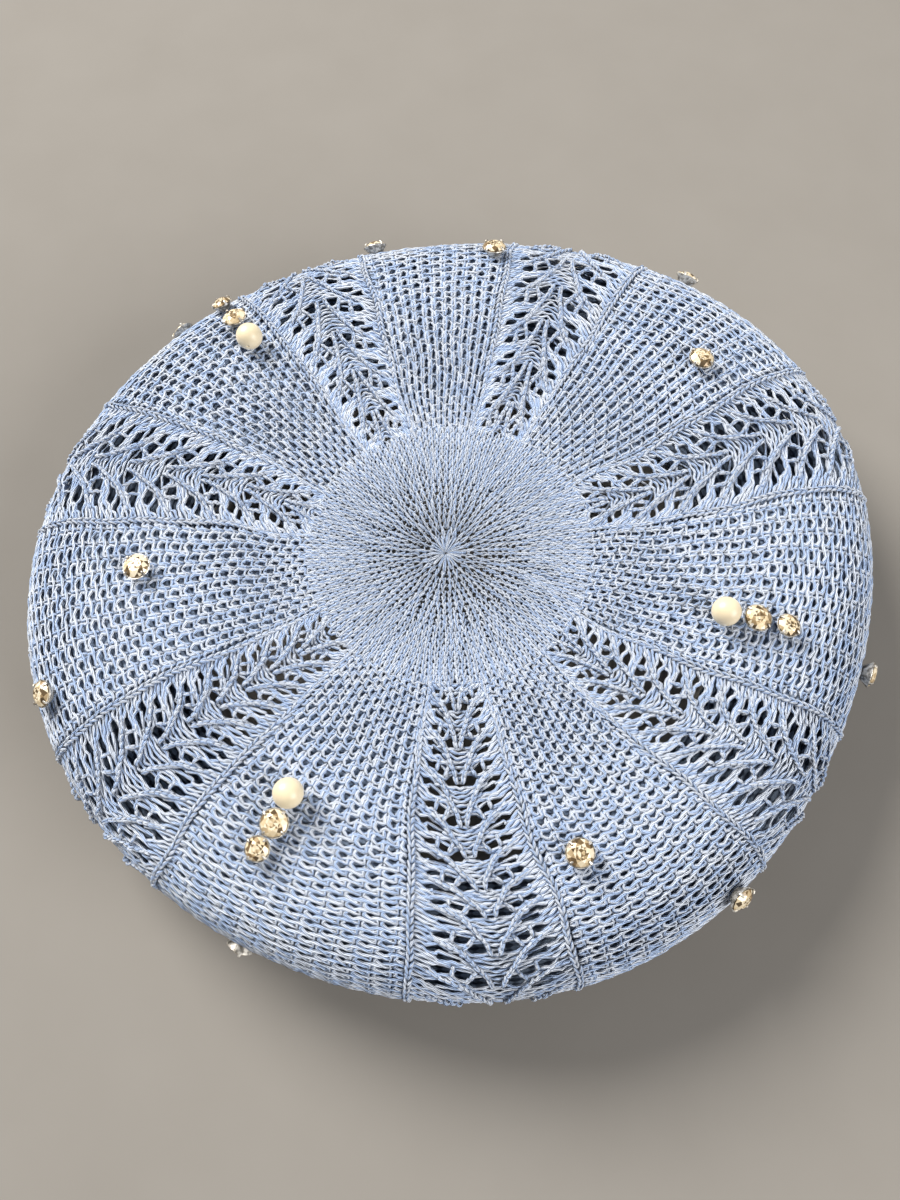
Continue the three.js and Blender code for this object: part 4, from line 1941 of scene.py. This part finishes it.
@dataclass(frozen=True)
class Beret:
    """The whole knit: disc, panels, underside and band."""

    form: BeretForm = BeretForm()
    lace: tuple[LaceLine, ...] = (
        LaceLine(
            18.6,
            (51, 64.5, 78, 91.5, 104.5, 117, 128.5, 140),
            ((50, 0), (64, -2), (78, -0.4), (91, 0.8), (104, 2.3), (117, 2.7), (130, 2.5)),
        ),
        LaceLine(
            69.1,
            (54, 71, 88.5, 106.5, 122.5, 137),
            ((54, 0), (71, -0.3), (88, 0.4), (106, 0.9), (122, 1.2)),
        ),
        LaceLine(
            117.3,
            (55.5, 72.5, 90, 108.5, 125, 139.5),
            ((55, 0.2), (72, -0.3), (90, 0), (108, -0.4)),
        ),
        LaceLine(
            165.3,
            (54, 68, 81.5, 96, 109, 122.5, 135.5),
            ((54, -1.5), (68, -2.7), (81, -1.6), (96, -0.8), (109, 0), (122, 0)),
        ),
        LaceLine(
            218.3,
            (56.5, 67, 77, 86.5, 96, 106.5, 117.5, 128.5, 139.5),
            ((56, -0.5), (67, -0.6), (77, -1.2), (106, -1.5), (117, -0.7), (128, 0.2)),
        ),
        LaceLine(
            273.2,
            (52, 63.5, 75.5, 87.5, 98, 107, 115, 125.5, 137.5),
            ((52, -1.2), (76, -1.8), (87, -1.6), (98, -0.85), (107, 0.4), (115, 1.8), (138, 1.6)),
        ),
        LaceLine(
            321.9,
            (51, 63, 75.5, 87.5, 98.5, 108.5, 119.5, 132.5, 143),
            ((51, -3.5), (63, -3.8), (75, -3.1), (87, -2), (98, -0.7), (108, 0.5), (119, 1.5), (132, 2.3)),
        ),
    )
    plain: tuple[Gauge, ...] = (
        Gauge(2.3, 2.6, 2.3),
        Gauge(2.2, 3.1, 2.5),
        Gauge(2.1, 2.9, 2.4),
        Gauge(2.6, 2.3, 1.8),
        Gauge(2.5, 2.15, 1.45),
        Gauge(2.45, 2.05, 1.6),
        Gauge(2.8, 2.2, 1.75),
    )

    def build(self) -> None:
        """Knits every piece."""
        cotton = MarlCotton().material()
        crown = (("crown",), Slot.COTTON, self.form)
        CentreDisc("centre_disc", *crown).build(cotton)
        count = len(self.lace)
        for number, line in enumerate(self.lace):
            LacePanel(f"lace_panel_{number + 1}", *crown, line).build(cotton)
            after = self.lace[(number + 1) % count]
            turn = 360.0 * ((number + 1) // count)
            plain = f"plain_panel_{number + 1}"
            PlainPanel(plain, *crown, line, after, turn, self.plain[number]).build(cotton)
        Underside("underside", *crown, tuple(line.spine for line in self.lace)).build(cotton)
        # the wall behind the plain knit carries painted shade
        KnitBack("knit_back", *crown).build(self.lace, PurlCotton().material())
        HeadBand("head_band_rib", ("head_band",), Slot.COTTON, self.form).build(cotton)


def corners(box: tuple[Vector, Vector]) -> list[list[float]]:
    """A box's two corners as plain lists."""
    return [list(corner) for corner in box]


def main() -> None:
    """Builds the beret's looks on its frame, then the stage."""
    logging.basicConfig(level=logging.INFO, format="%(message)s")
    for leftover in list(bpy.data.objects):
        bpy.data.objects.remove(leftover)
    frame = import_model()
    beret = Beret()
    beret.build()
    Ornaments().build(beret.form, frame["nodes"])
    studio = Studio()
    studio.build()
    studio.camera()


if __name__ == "__main__":
    main()
